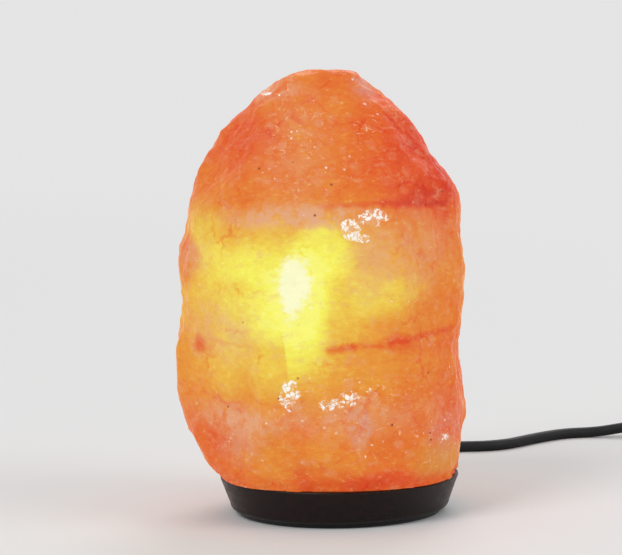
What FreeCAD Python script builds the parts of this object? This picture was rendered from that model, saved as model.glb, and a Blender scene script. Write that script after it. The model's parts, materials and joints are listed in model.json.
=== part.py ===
import FreeCAD, Part
import math
import os
import Sketcher
from FreeCAD import Placement, Rotation, Vector
from types import SimpleNamespace

# A salt crystal lamp on a turned wooden base. Millimetres, Z up, front towards -Y.
# The origin is on the table, on the axis of the base, the lampholder and the bulb.
# A light unit (lampholder with its spring clip, cord, switch and plug) stays put, and
# the crystal with its base lifts off it.

doc = FreeCAD.newDocument("SaltLamp")
sheet = doc.addObject("Spreadsheet::Sheet", "Sizes")

driving_sizes = {
    # wooden base and the felt ring under it
    "base_top_radius": 60,
    "base_foot_radius": 55.4,
    "base_thick": 17,
    "base_lip": 1.2,
    "base_lower_edge": 3.4,
    "base_upper_edge": 0.7,
    "base_hole_radius": 22,
    "groove_wide": 8,
    "groove_deep": 8,
    "felt_thick": 2.2,
    "felt_outer_radius": 50.5,
    "felt_wide": 9.5,
    "felt_gap": 13,
    # wood screws that hold the base to the crystal
    "screw_count": 3,
    "screw_ring_radius": 33,
    "screw_shank_radius": 2,
    "screw_head_radius": 4,
    "screw_head_tall": 2.4,
    "screw_long": 36,
    "screw_slack": 0.15,
    # crystal over all, before its faces are cleaved
    "crystal_wide": 145,
    "crystal_deep": 134,
    "crystal_tall": 203.4,
    # cavity bored in the crystal for the light
    "cavity_radius": 25,
    "cavity_deep": 121,
    # cord
    "cord_radius": 3,
    "cord_bush_slack": 0.15,
    # lampholder, from the clip under it to its rim
    "holder_bottom": 24,
    "cap_radius": 15,
    "cap_wall": 1.8,
    "cap_tall": 26,
    "cap_floor": 2,
    "cap_overlap": 6,
    "sleeve_radius": 14,
    "sleeve_top": 70,
    "sleeve_wall": 2,
    "block_tall": 9.5,
    "terminal_x": 6.2,
    "terminal_wide": 4.4,
    "terminal_deep": 6.4,
    "clamp_tall": 5.4,
    "clamp_screw_radius": 1.3,
    "clamp_screw_level": 2.6,
    "nipple_radius": 5,
    "nipple_below": 4.4,
    "nipple_above": 2.6,
    "nut_across": 15,
    "nut_tall": 2.6,
    "clip_sheet": 0.7,
    "clip_disc_radius": 13,
    "clip_wide": 8,
    "clip_slack": 0.35,
    "clip_reach_down": 19,
    "grip_tall": 4,
    "grip_wide": 15,
    "grip_deep": 11,
    "grip_screw_x": 5.3,
    "grip_screw_radius": 1.2,
    "wire_radius": 0.9,
    "wire_apart": 1.4,
    # E14 thread
    "thread_pitch": 2.82,
    "cap_core_radius": 6.25,
    "cap_ridge_radius": 7.0,
    "shell_ridge_radius": 6.45,
    "shell_bore_radius": 7.15,
    "shell_wall": 0.45,
    "shell_long": 13,
    "cap_ridge_turns": 3.5,
    "shell_ridge_turns": 3.5,
    "ridge_wide": 1.1,
    # bulb, its seat below the shell's rim and its parts above its own tip
    "bulb_seat_deep": 14,
    "tip_radius": 2.5,
    "tip_tall": 1.2,
    "vitrite_tall": 2.4,
    "bulb_cap_long": 15.5,
    "bulb_cap_wall": 0.4,
    "bulb_cap_collar": 7.3,
    "glass_radius": 13,
    "glass_wall": 0.6,
    "glass_rise": 44,
    "stem_radius": 2.6,
    "stem_rise": 29,
    "filament_rise": 43,
    "filament_reach": 5.2,
    "lead_radius": 0.35,
    "filament_radius": 0.45,
    # cord switch, its middle and its case
    "switch_x": 215,
    "switch_y": 220,
    "switch_long": 62,
    "switch_wide": 22,
    "switch_tall": 14.5,
    "switch_parting": 7,
    "switch_wall": 1.8,
    "switch_corner": 7,
    "cord_in_case": 8,
    "window_long": 18.6,
    "window_wide": 12.2,
    "rocker_pivot_level": 12,
    "rocker_tilt": 10,
    "rocker_half_long": 8.4,
    "rocker_wide": 11.6,
    "rocker_end_top": 4.2,
    "rocker_middle_top": 2.6,
    "rocker_keel": 1.7,
    "rocker_pin_radius": 1.2,
    "rocker_pin_slack": 0.05,
    "rocker_pin_reach": 7.6,
    "rocker_pin_end_slack": 1.4,
    "lug_thick": 2,
    "plunger_radius": 1.6,
    "plunger_down": 3.3,
    "seesaw_level": 6.2,
    "seesaw_tilt": 8,
    "seesaw_half_long": 7,
    "seesaw_wide": 5,
    "seesaw_thick": 0.8,
    "seesaw_axle_radius": 0.5,
    "seesaw_axle_slack": 0.08,
    "contact_reach": 6,
    "terminal_tall": 4.7,
    "terminal_foot": 1,
    "terminal_post_x": 12.5,
    "terminal_screw_radius": 1.8,
    "case_screw_x": 19,
    "case_screw_y": 6.9,
    "case_screw_radius": 1.1,
    "case_post_radius": 2.2,
    # flat two-pin plug, the place of its pin face and its level
    "plug_x": 281.5,
    "plug_face_y": 75,
    "plug_level": 7,
    "plug_wide": 35.3,
    "plug_thick": 13.7,
    "plug_body_long": 25,
    "plug_neck_wide": 13,
    "plug_edge": 3.2,
    "relief_long": 22,
    "relief_radius": 5.2,
    "relief_end_radius": 3.8,
    "relief_ring_step": 3.6,
    "relief_ring_wide": 1.2,
    "relief_ring_deep": 0.8,
    "relief_overlap": 4,
    "pin_radius": 2,
    "pin_long": 19,
    "pin_sleeve_long": 10,
    "pin_sleeve_radius": 1.8,
    "pin_sleeve_gap": 0.3,
    "pin_stem_radius": 1.5,
    "pin_nose": 1,
    "pin_face_apart": 18.6,
    "pin_tip_apart": 17.5,
    "pin_root_long": 9,
    # coil of spare cord
    "coil_x": 242.5,
    "coil_y": 160,
    "coil_radius": 39,
    "coil_step": 6.5,
    "coil_quarters": 9,
}

# The crystal's level sections: height above the base, left, right, front and back reach.
crystal_levels = [
    (0, 59.6, 59.2, 57.5, 57),
    (6, 64, 60.4, 60, 59),
    (13, 68.6, 61.2, 62, 61),
    (28, 76.2, 62.9, 65, 64),
    (43, 79.3, 63.6, 67, 66),
    (63, 80.7, 61, 66.5, 67),
    (82, 76.8, 62.6, 65.5, 66),
    (107, 78.1, 64.3, 63.5, 65),
    (129, 73.4, 62.2, 60, 61),
    (146, 70.6, 59.3, 55.5, 56),
    (157, 65.2, 51.8, 50.5, 51),
    (168, 59.4, 45.3, 45, 45),
    (180, 49.2, 36.2, 37, 37),
    (191, 37.6, 23.2, 28, 28),
    (199, 25.2, 14.8, 19, 19),
    (203.4, 10.5, 6.4, 8, 9),
]
# The crystal's flat cleaved faces: compass angle, lean, and reach from its middle.
cleaved_faces = [
    (-90, 3, 60.5),
    (-84, 38, 78),
    (-36, 4, 67),
    (-141, -4, 65.5),
    (-28, 35, 86),
    (-152, 31, 79.5),
    (90, 4, 62),
    (96, 40, 78),
    (47, -5, 67),
    (131, 6, 66),
    (25, 34, 86),
]
crystal_middle = (-8, 0, 90.8)
crystal_sides = 14
crystal_fullness = 0.86
crystal_lump = 0.022

# The cord from the lampholder to the switch, then from the switch to the coil, point by
# point; the ends take their places from the sheet.
cord_to_switch = [
    (0, 0, 15.7),
    (0, 3.55, 9.55),
    (0, 9.7, 6),
    (0.5, 23, 6),
    (-0.3, 46, 5.5),
    (1, 70, 3),
    (5, 110, 3),
    (24, 152, 3),
    (57, 178.5, 3),
    (91, 177, 3),
    (113, 203.5, 3),
    (132, 220.5, 3),
    (152, 222.5, 3),
]
cord_to_coil = [
    (272.5, 211.2, 5.4),
    (281.3, 195.5, 3.4),
    (281.6, 178, 3),
]

for row, (name, number) in enumerate(driving_sizes.items(), 1):
    sheet.set(f"A{row}", name)
    sheet.set(f"B{row}", str(number))
    sheet.setAlias(f"B{row}", name)
for level, reaches in enumerate(crystal_levels):
    row = len(driving_sizes) + 1 + level
    sheet.set(f"A{row}", f"crystal section {level}")
    for column, word, number in zip("BCDEF", ("rise", "left", "right", "front", "back"), reaches):
        sheet.set(f"{column}{row}", str(number))
        sheet.setAlias(f"{column}{row}", f"crystal_{word}_{level:02d}")
for number, face in enumerate(cleaved_faces):
    row = len(driving_sizes) + len(crystal_levels) + 1 + number
    sheet.set(f"A{row}", f"cleaved face {number}")
    for column, word, value in zip("BCD", ("compass", "lean", "reach"), face):
        sheet.set(f"{column}{row}", str(value))
        sheet.setAlias(f"{column}{row}", f"cleaved_{word}_{number:02d}")
doc.recompute()


class Size:
    # A number together with the sheet expression that gives it.
    def __init__(self, text, number):
        self.text = text
        self.number = number

    def __add__(self, other):
        other = sized(other)
        return Size(f"({self.text} + {other.text})", self.number + other.number)

    def __sub__(self, other):
        other = sized(other)
        return Size(f"({self.text} - {other.text})", self.number - other.number)

    def __mul__(self, other):
        other = sized(other)
        return Size(f"({self.text} * {other.text})", self.number * other.number)

    def __truediv__(self, other):
        other = sized(other)
        return Size(f"({self.text} / {other.text})", self.number / other.number)

    def __neg__(self):
        return Size(f"(0 - {self.text})", -self.number)

    def __rsub__(self, other):
        return sized(other) - self

    __radd__ = __add__
    __rmul__ = __mul__


def sized(value):
    if isinstance(value, Size):
        return value
    return Size(repr(value), float(value))


s = SimpleNamespace(**{name: Size(f"Sizes.{name}", float(sheet.get(name))) for name in driving_sizes})
nodes = []


# ---- small tools for making and binding objects ----

def bind(item, prop, value):
    item.setExpression(prop, sized(value).text)


def put(item, x=0, y=0, z=0, turn=None):
    if turn is not None:
        item.Placement = Placement(Vector(), turn)
    for letter, value in zip("xyz", (x, y, z)):
        bind(item, f"Placement.Base.{letter}", value)
    return item


def rod(radius, length, x=0, y=0, z=0, turn=None):
    item = doc.addObject("Part::Cylinder", "Rod")
    bind(item, "Radius", radius)
    bind(item, "Height", length)
    return put(item, x, y, z, turn)


def cone(lower_radius, upper_radius, length, x=0, y=0, z=0, turn=None):
    item = doc.addObject("Part::Cone", "Cone")
    bind(item, "Radius1", lower_radius)
    bind(item, "Radius2", upper_radius)
    bind(item, "Height", length)
    return put(item, x, y, z, turn)


def ball(radius, x=0, y=0, z=0):
    item = doc.addObject("Part::Sphere", "Ball")
    bind(item, "Radius", radius)
    return put(item, x, y, z)


def block(x, y, bottom, long, wide, tall):
    # a box placed by the middle of its underside
    item = doc.addObject("Part::Box", "Block")
    bind(item, "Length", long)
    bind(item, "Width", wide)
    bind(item, "Height", tall)
    return put(item, sized(x) - sized(long) / 2, sized(y) - sized(wide) / 2, bottom)


def fuse(*items):
    whole = doc.addObject("Part::MultiFuse", "Union")
    whole.Shapes = list(items)
    return whole


def cut(base, *tools):
    rest = doc.addObject("Part::Cut", "Rest")
    rest.Base = base
    rest.Tool = tools[0] if len(tools) == 1 else fuse(*tools)
    return rest


def group(*items):
    several = doc.addObject("Part::Compound", "Several")
    several.Links = list(items)
    return several


def shaped(shape, name="Formed"):
    item = doc.addObject("Part::Feature", name)
    item.Shape = shape
    return item


def node(name, item):
    item.Label = name
    nodes.append(item)
    return item


def new_body(name):
    return doc.addObject("PartDesign::Body", name)


def sketch_on(body, role, name):
    plane = next(item for item in body.Origin.OriginFeatures if item.Role == role)
    sketch = body.newObject("Sketcher::SketchObject", name)
    sketch.AttachmentSupport = (plane, [""])
    sketch.MapMode = "FlatFace"
    return sketch


def hold_point(sketch, edge, end, x, y):
    # ties one end of an edge to the sheet, or to an axis where its coordinate is nothing
    for value, kind, axis in ((sized(x), "DistanceX", -2), (sized(y), "DistanceY", -1)):
        if value.text in ("0", "0.0"):
            sketch.addConstraint(Sketcher.Constraint("PointOnObject", edge, end, axis))
        else:
            index = sketch.addConstraint(Sketcher.Constraint(kind, -1, 1, edge, end, value.number))
            sketch.setExpression(f"Constraints[{index}]", value.text)


def outline(sketch, points):
    # a closed outline of straight runs through corners (x, y)
    spots = [Vector(sized(x).number, sized(y).number) for x, y in points]
    first = sketch.GeometryCount
    for number, spot in enumerate(spots):
        sketch.addGeometry(Part.LineSegment(spot, spots[(number + 1) % len(spots)]), False)
    for number, (x, y) in enumerate(points):
        after = (number + 1) % len(points)
        sketch.addConstraint(Sketcher.Constraint("Coincident", first + number, 2, first + after, 1))
        hold_point(sketch, first + number, 1, x, y)


def turned(name, points):
    # a piece turned about the Z axis, from its half outline (radius, height)
    body = new_body(name)
    sketch = sketch_on(body, "XZ_Plane", f"{name}_outline")
    outline(sketch, points)
    turning = body.newObject("PartDesign::Revolution", f"{name}_turned")
    turning.Profile = (sketch, [""])
    turning.ReferenceAxis = (sketch, ["V_Axis"])
    turning.Angle = 360
    sketch.Visibility = False
    return body


def padded(body, sketch, length, both_ways=False):
    pad = body.newObject("PartDesign::Pad", f"{sketch.Name}_pad")
    pad.Profile = (sketch, [""])
    bind(pad, "Length", length)
    if both_ways:
        pad.SideType = "Symmetric"
    return pad


def rounded(body, radius, wanted):
    # rounds the edges of the body's last feature that the test picks out
    doc.recompute()
    last = body.Tip
    picked = [f"Edge{n}" for n, edge in enumerate(last.Shape.Edges, 1) if wanted(edge)]
    fillet = body.newObject("PartDesign::Fillet", f"{body.Name}_rounded")
    fillet.Base = (last, picked)
    bind(fillet, "Radius", radius)
    return fillet


def at_level(level):
    return lambda edge: edge.BoundBox.ZLength < 1e-6 and abs(edge.BoundBox.ZMin - sized(level).number) < 1e-6


def rim(level, beyond):
    return lambda edge: at_level(level)(edge) and edge.BoundBox.XMax > sized(beyond).number


def upright(edge):
    return edge.BoundBox.XLength < 1e-6 and edge.BoundBox.YLength < 1e-6


# ---- tubes along routes ----

def route_edges(points, name):
    # straight runs joined by arcs, each as large as its two runs allow
    edges, radii, here = [], [], points[0]
    for before, corner, after in zip(points, points[1:], points[2:]):
        run_in, run_out = corner - before, after - corner
        half_turn = run_in.getAngle(run_out) / 2
        reach = 0.45 * min(run_in.Length, run_out.Length)
        radius = reach / math.tan(half_turn)
        way_in, way_out = Vector(run_in).normalize(), Vector(run_out).normalize()
        start, end = corner - way_in * reach, corner + way_out * reach
        inward = Vector(way_out - way_in).normalize()
        middle = corner + inward * (radius / math.cos(half_turn) - radius)
        edges += [Part.LineSegment(here, start).toShape(), Part.Arc(start, middle, end).toShape()]
        radii.append(round(radius, 1))
        here = end
    edges.append(Part.LineSegment(here, points[-1]).toShape())
    print(name, "bend radii", radii)
    return edges


def tube(edges, radius, name):
    path = Part.Wire(edges)
    first = edges[0]
    start = first.valueAt(first.FirstParameter)
    heading = first.tangentAt(first.FirstParameter)
    ring = Part.Wire([Part.Circle(start, heading, radius).toShape()])
    solid = path.makePipeShell([ring], True, False)
    expected = math.pi * radius ** 2 * path.Length
    match = solid.Volume / expected
    print(name, f"length {path.Length:.0f}, volume against section times length {match:.5f}")
    return solid


def bent_wire(points, radius, name):
    return tube(route_edges([Vector(*point) for point in points], name), radius, name)


def two_arcs(start, start_way, end, end_way):
    # a pair of tangent arcs from one point and heading to another
    chord = end - start
    both = start_way + end_way
    lead = chord.dot(both)
    spread = 2 * (1 - start_way.dot(end_way))
    reach = (math.sqrt(lead ** 2 + spread * chord.dot(chord)) - lead) / spread
    first_knee, last_knee = start + start_way * reach, end - end_way * reach
    meeting = (first_knee + last_knee) / 2
    edges = []
    for left, knee, right in ((start, first_knee, meeting), (meeting, last_knee, end)):
        way_in, way_out = (knee - left).normalize(), (right - knee).normalize()
        half_turn = way_in.getAngle(way_out) / 2
        radius = (knee - left).Length / math.tan(half_turn)
        inward = (way_out - way_in).normalize()
        middle = knee + inward * (radius / math.cos(half_turn) - radius)
        edges.append(Part.Arc(left, middle, right).toShape())
    return edges


def coil_stations():
    # Places and headings a quarter turn apart: in on the lower layer, up in the half turn
    # where the spiral reverses, and out again on the upper layer.
    middle = round(s.coil_quarters.number) + 1
    low, step = s.cord_radius.number, s.coil_step.number
    shrink = step / 4
    inner = s.coil_radius.number - middle * shrink
    stations = []
    for quarter in range(2 * middle + 1):
        radius = inner + abs(quarter - middle) * shrink
        angle = -quarter * math.pi / 2
        out = Vector(math.cos(angle), math.sin(angle), 0)
        ahead = Vector(math.sin(angle), -math.cos(angle), 0)
        spot = Vector(s.coil_x.number, s.coil_y.number, 0) + out * radius
        spot.z = low + step * min(max((quarter - middle + 1) / 2, 0), 1)
        drift, rise = shrink * 2 / math.pi, 0
        if quarter in (0, middle, 2 * middle):
            drift = 0
        if quarter < middle:
            drift = -drift
        if quarter == middle:
            rise = 2 * step / math.pi
        stations.append((spot, (ahead * radius + out * drift + Vector(0, 0, rise)).normalize()))
    return stations


def least_gap(edges, radius):
    # the least space between stretches of the wound tube more than a third of a turn apart
    points, along = [], []
    total = 0
    for edge in edges:
        steps = 24
        for spot in edge.discretize(steps + 1)[:-1]:
            points.append(spot)
            along.append(total)
            total += edge.Length / steps
    apart = 2 * math.pi * s.coil_radius.number / 5
    least = min(
        (one - other).Length
        for i, one in enumerate(points)
        for j, other in enumerate(points[i + 1:], i + 1)
        if along[j] - along[i] > apart
    )
    return least - 2 * radius


# ---- crystal, base, screws and felt ----

base_top = s.felt_thick + s.base_thick


crystal_drawn = [
    max(row[1] for row in crystal_levels) + max(row[2] for row in crystal_levels),
    max(row[3] for row in crystal_levels) + max(row[4] for row in crystal_levels),
    crystal_levels[-1][0] - crystal_levels[0][0],
]
crystal_sizes = [s.crystal_wide.number, s.crystal_deep.number, s.crystal_tall.number]
grown_x, grown_y, grown_z = (round(size / drawn, 9) for size, drawn in zip(crystal_sizes, crystal_drawn))


def crystal_section(level):
    rise, left, right, front, back = (
        float(sheet.get(f"crystal_{word}_{level:02d}"))
        for word in ("rise", "left", "right", "front", "back")
    )
    middle_x, half_x = (right - left) / 2, (right + left) / 2
    middle_y, half_y = (back - front) / 2, (back + front) / 2
    spots = []
    for side in range(crystal_sides):
        angle = 2 * math.pi * side / crystal_sides
        lump = 1 + crystal_lump * math.sin(angle) ** 2 * math.sin(2.3 * side + 1.1 * level)
        x = math.copysign(abs(math.cos(angle)) ** crystal_fullness, math.cos(angle))
        y = math.copysign(abs(math.sin(angle)) ** crystal_fullness, math.sin(angle)) * lump
        spot_x, spot_y = middle_x + half_x * x, middle_y + half_y * y
        spots.append(Vector(spot_x * grown_x, spot_y * grown_y, rise * grown_z))
    curve = Part.BSplineCurve()
    curve.interpolate(spots, PeriodicFlag=True)
    section = shaped(Part.Wire([curve.toShape()]), "CrystalSection")
    bind(section, "Placement.Base.z", base_top)
    return section


def make_crystal():
    rough = doc.addObject("Part::Loft", "CrystalForm")
    rough.Sections = [crystal_section(level) for level in range(len(crystal_levels))]
    rough.Solid = True
    rough.Ruled = False
    wide = max(crystal_sizes) * 2
    faces = []
    for number in range(len(cleaved_faces)):
        compass, lean, reach = (
            float(sheet.get(f"cleaved_{word}_{number:02d}")) for word in ("compass", "lean", "reach")
        )
        away = Rotation(Vector(0, 0, 1), compass) * Rotation(Vector(0, 1, 0), 90 - lean)
        spot = Vector(*crystal_middle) + away.multVec(Vector(0, 0, reach))
        spot = Vector(spot.x * grown_x, spot.y * grown_y, spot.z * grown_z + base_top.number)
        waste = shaped(Part.makeBox(wide, wide, wide / 4, Vector(-wide / 2, -wide / 2, 0)), "Waste")
        waste.Placement = Placement(spot, away)
        faces.append(waste)
    cavity = rod(s.cavity_radius, s.cavity_deep, z=base_top)
    pilots = [
        rod(s.screw_shank_radius + s.screw_slack, s.screw_long, *screw_place(turn))
        for turn in range(screw_total)
    ]
    hewn = rough
    for waste in faces:
        hewn = cut(hewn, waste)
    node("salt_crystal", cut(hewn, cavity, *pilots))


screw_total = round(s.screw_count.number)


def screw_place(turn):
    angle = math.radians(30 + 360 * turn / screw_total)
    ring = s.screw_ring_radius
    return ring * round(math.cos(angle), 6), ring * round(math.sin(angle), 6), s.felt_thick


def make_base():
    hole, top, bottom = s.base_hole_radius, base_top, s.felt_thick
    body = turned("base_turning", [
        (hole, bottom),
        (s.base_foot_radius - 0.5, bottom),
        (s.base_foot_radius, bottom + s.base_lower_edge),
        (s.base_top_radius, top - s.base_lip),
        (s.base_top_radius, top),
        (hole, top),
    ])
    rounded(body, s.base_upper_edge, rim(top, hole + 1))
    rounded(body, s.base_lower_edge, rim(bottom, hole + 1))
    groove = block(0, s.base_top_radius, bottom - 1, s.groove_wide, s.base_top_radius * 2, s.groove_deep + 1)
    tools = [groove]
    for turn in range(screw_total):
        x, y, z = screw_place(turn)
        tools.append(rod(s.screw_shank_radius + s.screw_slack, s.base_thick + 2, x, y, z - 1))
        wide, narrow = s.screw_head_radius + s.screw_slack, s.screw_shank_radius + s.screw_slack
        tools.append(cone(wide, narrow, s.screw_head_tall, x, y, z))
    node("wooden_base", cut(body, *tools))


def make_screws():
    screws = []
    for turn in range(screw_total):
        x, y, z = screw_place(turn)
        head = cone(s.screw_head_radius, s.screw_shank_radius, s.screw_head_tall, x, y, z)
        shank = rod(s.screw_shank_radius, s.screw_long - 4, x, y, z)
        point = cone(s.screw_shank_radius, 0.3, 4, x, y, z + s.screw_long - 4)
        slot = block(x, y, z - 1, s.screw_head_radius * 1.5, 1, 2)
        screws.append(cut(fuse(head, shank, point), slot))
    node("base_screws", group(*screws))


def make_felt():
    inner = s.felt_outer_radius - s.felt_wide
    ring = turned("felt_turning", [
        (inner, 0),
        (s.felt_outer_radius, 0),
        (s.felt_outer_radius, s.felt_thick),
        (inner, s.felt_thick),
    ])
    gap = block(0, s.felt_outer_radius, -1, s.felt_gap, s.felt_outer_radius, s.felt_thick + 2)
    node("felt_ring", cut(ring, gap))


# ---- lampholder and its clip ----

cap_bottom = s.holder_bottom
cap_top = s.holder_bottom + s.cap_tall
sleeve_bottom = cap_top - s.cap_overlap
block_top = sleeve_bottom + s.block_tall
shell_top = s.sleeve_top - 1
shell_bottom = shell_top - s.shell_long
tip_bottom = shell_top - s.bulb_seat_deep
shell_outer = s.shell_bore_radius + s.shell_wall
nipple_bore = s.cord_radius + s.cord_bush_slack
sheath_end = cap_bottom + s.cap_floor + s.grip_tall + 5


def make_holder_cap():
    wall = s.cap_radius - s.cap_wall
    body = turned("holder_cap_turning", [
        (s.nipple_radius, cap_bottom),
        (s.cap_radius - 1.5, cap_bottom),
        (s.cap_radius, cap_bottom + 1.5),
        (s.cap_radius, cap_top),
        (s.sleeve_radius, cap_top),
        (s.sleeve_radius, sleeve_bottom),
        (wall, sleeve_bottom),
        (wall, cap_bottom + s.cap_floor),
        (s.nipple_radius, cap_bottom + s.cap_floor),
    ])
    node("holder_cap", body)


def make_holder_sleeve():
    inner = s.sleeve_radius - s.sleeve_wall
    body = turned("holder_sleeve_turning", [
        (inner, sleeve_bottom),
        (s.sleeve_radius, sleeve_bottom),
        (s.sleeve_radius, cap_top),
        (s.cap_radius, cap_top),
        (s.cap_radius, cap_top + 2),
        (s.sleeve_radius - 0.6, cap_top + 3),
        (s.sleeve_radius - 0.6, s.sleeve_top - 1),
        (s.sleeve_radius - 1.6, s.sleeve_top),
        (shell_outer, s.sleeve_top),
        (shell_outer, block_top + 2.5),
        (inner, block_top + 2.5),
    ])
    node("holder_sleeve", body)


def make_contact_block():
    # the ceramic insert that carries the terminals and contacts
    disc = turned("contact_block_turning", [
        (0, sleeve_bottom),
        (s.sleeve_radius - s.sleeve_wall, sleeve_bottom),
        (s.sleeve_radius - s.sleeve_wall, block_top),
        (0, block_top),
    ])
    wide, deep, far = s.terminal_wide, s.terminal_deep, s.terminal_x
    screw_level = sleeve_bottom + s.clamp_screw_level
    pockets = [block(far * side, 0, sleeve_bottom - 1, wide, deep, s.clamp_tall + 2) for side in (-1, 1)]
    screw_ways = [
        rod(s.clamp_screw_radius + 0.45, 9.4, far * side, -12, screw_level, y_turn) for side in (-1, 1)
    ]
    node("contact_block", cut(disc, *pockets, *screw_ways))
    clamps, screws = [], []
    for side in (-1, 1):
        clamp = block(far * side, 0, sleeve_bottom, wide, deep, s.clamp_tall)
        bore = rod(s.clamp_screw_radius, 3.6, far * side, -deep / 2, screw_level, y_turn)
        wire_way = rod(s.wire_radius, 3, far * side, 1.4, sleeve_bottom)
        clamps.append(cut(clamp, bore, wire_way))
        shank = rod(s.clamp_screw_radius, 3.6, far * side, -deep / 2, screw_level, y_turn)
        head = rod(s.clamp_screw_radius + 0.4, 1.2, far * side, -deep / 2 - 1.2, screw_level, y_turn)
        slot = block(far * side, -deep / 2 - 1.2, screw_level - 0.4, 4, 0.8, 0.8)
        screws.append(cut(fuse(shank, head), slot))
    node("holder_terminals", group(*clamps))
    node("terminal_screws", group(*screws))


y_turn = Rotation(Vector(1, 0, 0), -90)
x_turn = Rotation(Vector(0, 1, 0), 90)


def make_contacts():
    # a sprung tongue under the bulb's tip, and a tab up to the threaded shell
    body = new_body("centre_contact_strip")
    sketch = sketch_on(body, "XZ_Plane", "centre_contact_side")
    touch = tip_bottom - 0.05
    outline(sketch, [
        (8, block_top),
        (8, block_top + 0.5),
        (5, block_top + 0.5),
        (2, touch),
        (-1.6, touch),
        (-3, touch - 0.7),
        (-3, touch - 1.2),
        (-1.5, touch - 0.5),
        (1.8, touch - 0.5),
        (4.8, block_top),
    ])
    padded(body, sketch, 4, both_ways=True)
    node("centre_contact", body)
    tab_x = -(s.shell_bore_radius + s.shell_wall / 2)
    tab = block(tab_x, 0, block_top, s.shell_wall, 4, shell_bottom - block_top)
    foot = block(-s.terminal_x, 0, block_top, 3, 4, 0.5)
    node("side_contact", fuse(tab, foot))


def make_thread_shell():
    body = turned("thread_shell_tube", [
        (s.shell_bore_radius, shell_bottom),
        (shell_outer, shell_bottom),
        (shell_outer, shell_top),
        (s.shell_bore_radius, shell_top),
    ])
    start = shell_bottom + 1.2
    ridge = thread_ridge(
        s.shell_bore_radius.number + 0.2,
        s.shell_ridge_radius.number,
        start.number,
        s.shell_ridge_turns.number,
    )
    node("thread_shell", threaded(body, ridge))


def thread_ridge(root, crest, start, turns):
    # a helical ridge from its root radius to its crest radius, right-handed
    pitch = s.thread_pitch.number
    helix = Part.makeHelix(pitch, pitch * turns, (root + crest) / 2)
    half_root, half_crest = s.ridge_wide.number / 2, s.ridge_wide.number / 5
    profile = Part.makePolygon([
        Vector(root, 0, -half_root),
        Vector(crest, 0, -half_crest),
        Vector(crest, 0, half_crest),
        Vector(root, 0, half_root),
        Vector(root, 0, -half_root),
    ])
    ridge = Part.Wire(helix.Edges).makePipeShell([profile], True, True)
    return ridge.translated(Vector(0, 0, start))


def threaded(tube_body, ridge):
    whole = fuse(tube_body, shaped(ridge, "ThreadRidge"))
    whole.Refine = False
    return whole


def make_nipple_and_clip():
    bottom = cap_bottom - s.nipple_below
    nipple = turned("nipple_turning", [
        (nipple_bore, bottom),
        (s.nipple_radius, bottom),
        (s.nipple_radius, cap_bottom + s.cap_floor + s.nipple_above - 1),
        (nipple_bore, cap_bottom + s.cap_floor + s.nipple_above - 1),
    ])
    node("cord_nipple", nipple)
    hexagon = doc.addObject("Part::Prism", "NutBlank")
    hexagon.Polygon = 6
    bind(hexagon, "Circumradius", s.nut_across / 2)
    bind(hexagon, "Height", s.nut_tall)
    put(hexagon, 0, 0, cap_bottom - s.clip_sheet - s.nut_tall)
    hole = rod(s.nipple_radius, s.nut_tall * 3, z=cap_bottom - s.clip_sheet - s.nut_tall * 2)
    node("nipple_nut", cut(hexagon, hole))

    disc = turned("clip_disc", [
        (s.nipple_radius, cap_bottom - s.clip_sheet),
        (s.clip_disc_radius, cap_bottom - s.clip_sheet),
        (s.clip_disc_radius, cap_bottom),
        (s.nipple_radius, cap_bottom),
    ])
    body = new_body("clip_arm")
    sketch = sketch_on(body, "XZ_Plane", "clip_arm_side")
    wall, sheet_thick = s.base_hole_radius - s.clip_slack * 2, s.clip_sheet
    low = cap_bottom - s.clip_reach_down
    outline(sketch, [
        (s.clip_disc_radius - 2, cap_bottom),
        (s.clip_disc_radius + 3.5, cap_bottom),
        (wall, cap_bottom - 6),
        (wall, cap_bottom - 13),
        (wall - 3.5, low),
        (wall - 3.5 - sheet_thick, low),
        (wall - sheet_thick, cap_bottom - 12.8),
        (wall - sheet_thick, cap_bottom - 6.2),
        (s.clip_disc_radius + 3.1, cap_bottom - sheet_thick),
        (s.clip_disc_radius - 2, cap_bottom - sheet_thick),
    ])
    arm = padded(body, sketch, s.clip_wide, both_ways=True)
    mirror = body.newObject("PartDesign::Mirrored", "clip_arms")
    mirror.Originals = [arm]
    mirror.MirrorPlane = (next(f for f in body.Origin.OriginFeatures if f.Role == "YZ_Plane"), [""])
    body.AllowCompound = True
    body.Tip = mirror
    node("spring_clip", fuse(disc, body))


def make_cord_grip():
    # a two-screw saddle that holds the cord inside the cap
    floor = cap_bottom + s.cap_floor + s.nipple_above - 1
    saddle = block(0, 0, floor, s.grip_wide, s.grip_deep, s.grip_tall)
    way = rod(s.cord_radius, s.grip_tall + 2, z=floor - 1)
    places = [s.grip_screw_x * side for side in (-1, 1)]
    holes = [rod(s.grip_screw_radius, s.grip_tall + 2, x, 0, floor - 1) for x in places]
    node("cord_grip", cut(saddle, way, *holes))
    screws = []
    for x in places:
        shank = rod(s.grip_screw_radius, s.grip_tall, x, 0, floor)
        head = rod(s.grip_screw_radius + 0.8, 1.3, x, 0, floor + s.grip_tall)
        screws.append(fuse(shank, head))
    node("grip_screws", group(*screws))


def make_holder_leads():
    leads = []
    for side in (-1, 1):
        points = [
            (side * s.wire_apart.number, 0, sheath_end.number),
            (side * s.wire_apart.number, 0, sheath_end.number + 2.5),
            (side * s.terminal_x.number, 1.4, sleeve_bottom.number - 1.8),
            (side * s.terminal_x.number, 1.4, sleeve_bottom.number + 2.5),
        ]
        leads.append(shaped(bent_wire(points, s.wire_radius.number, "holder lead"), "HolderLead"))
    node("holder_leads", group(*leads))


# ---- bulb ----

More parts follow.
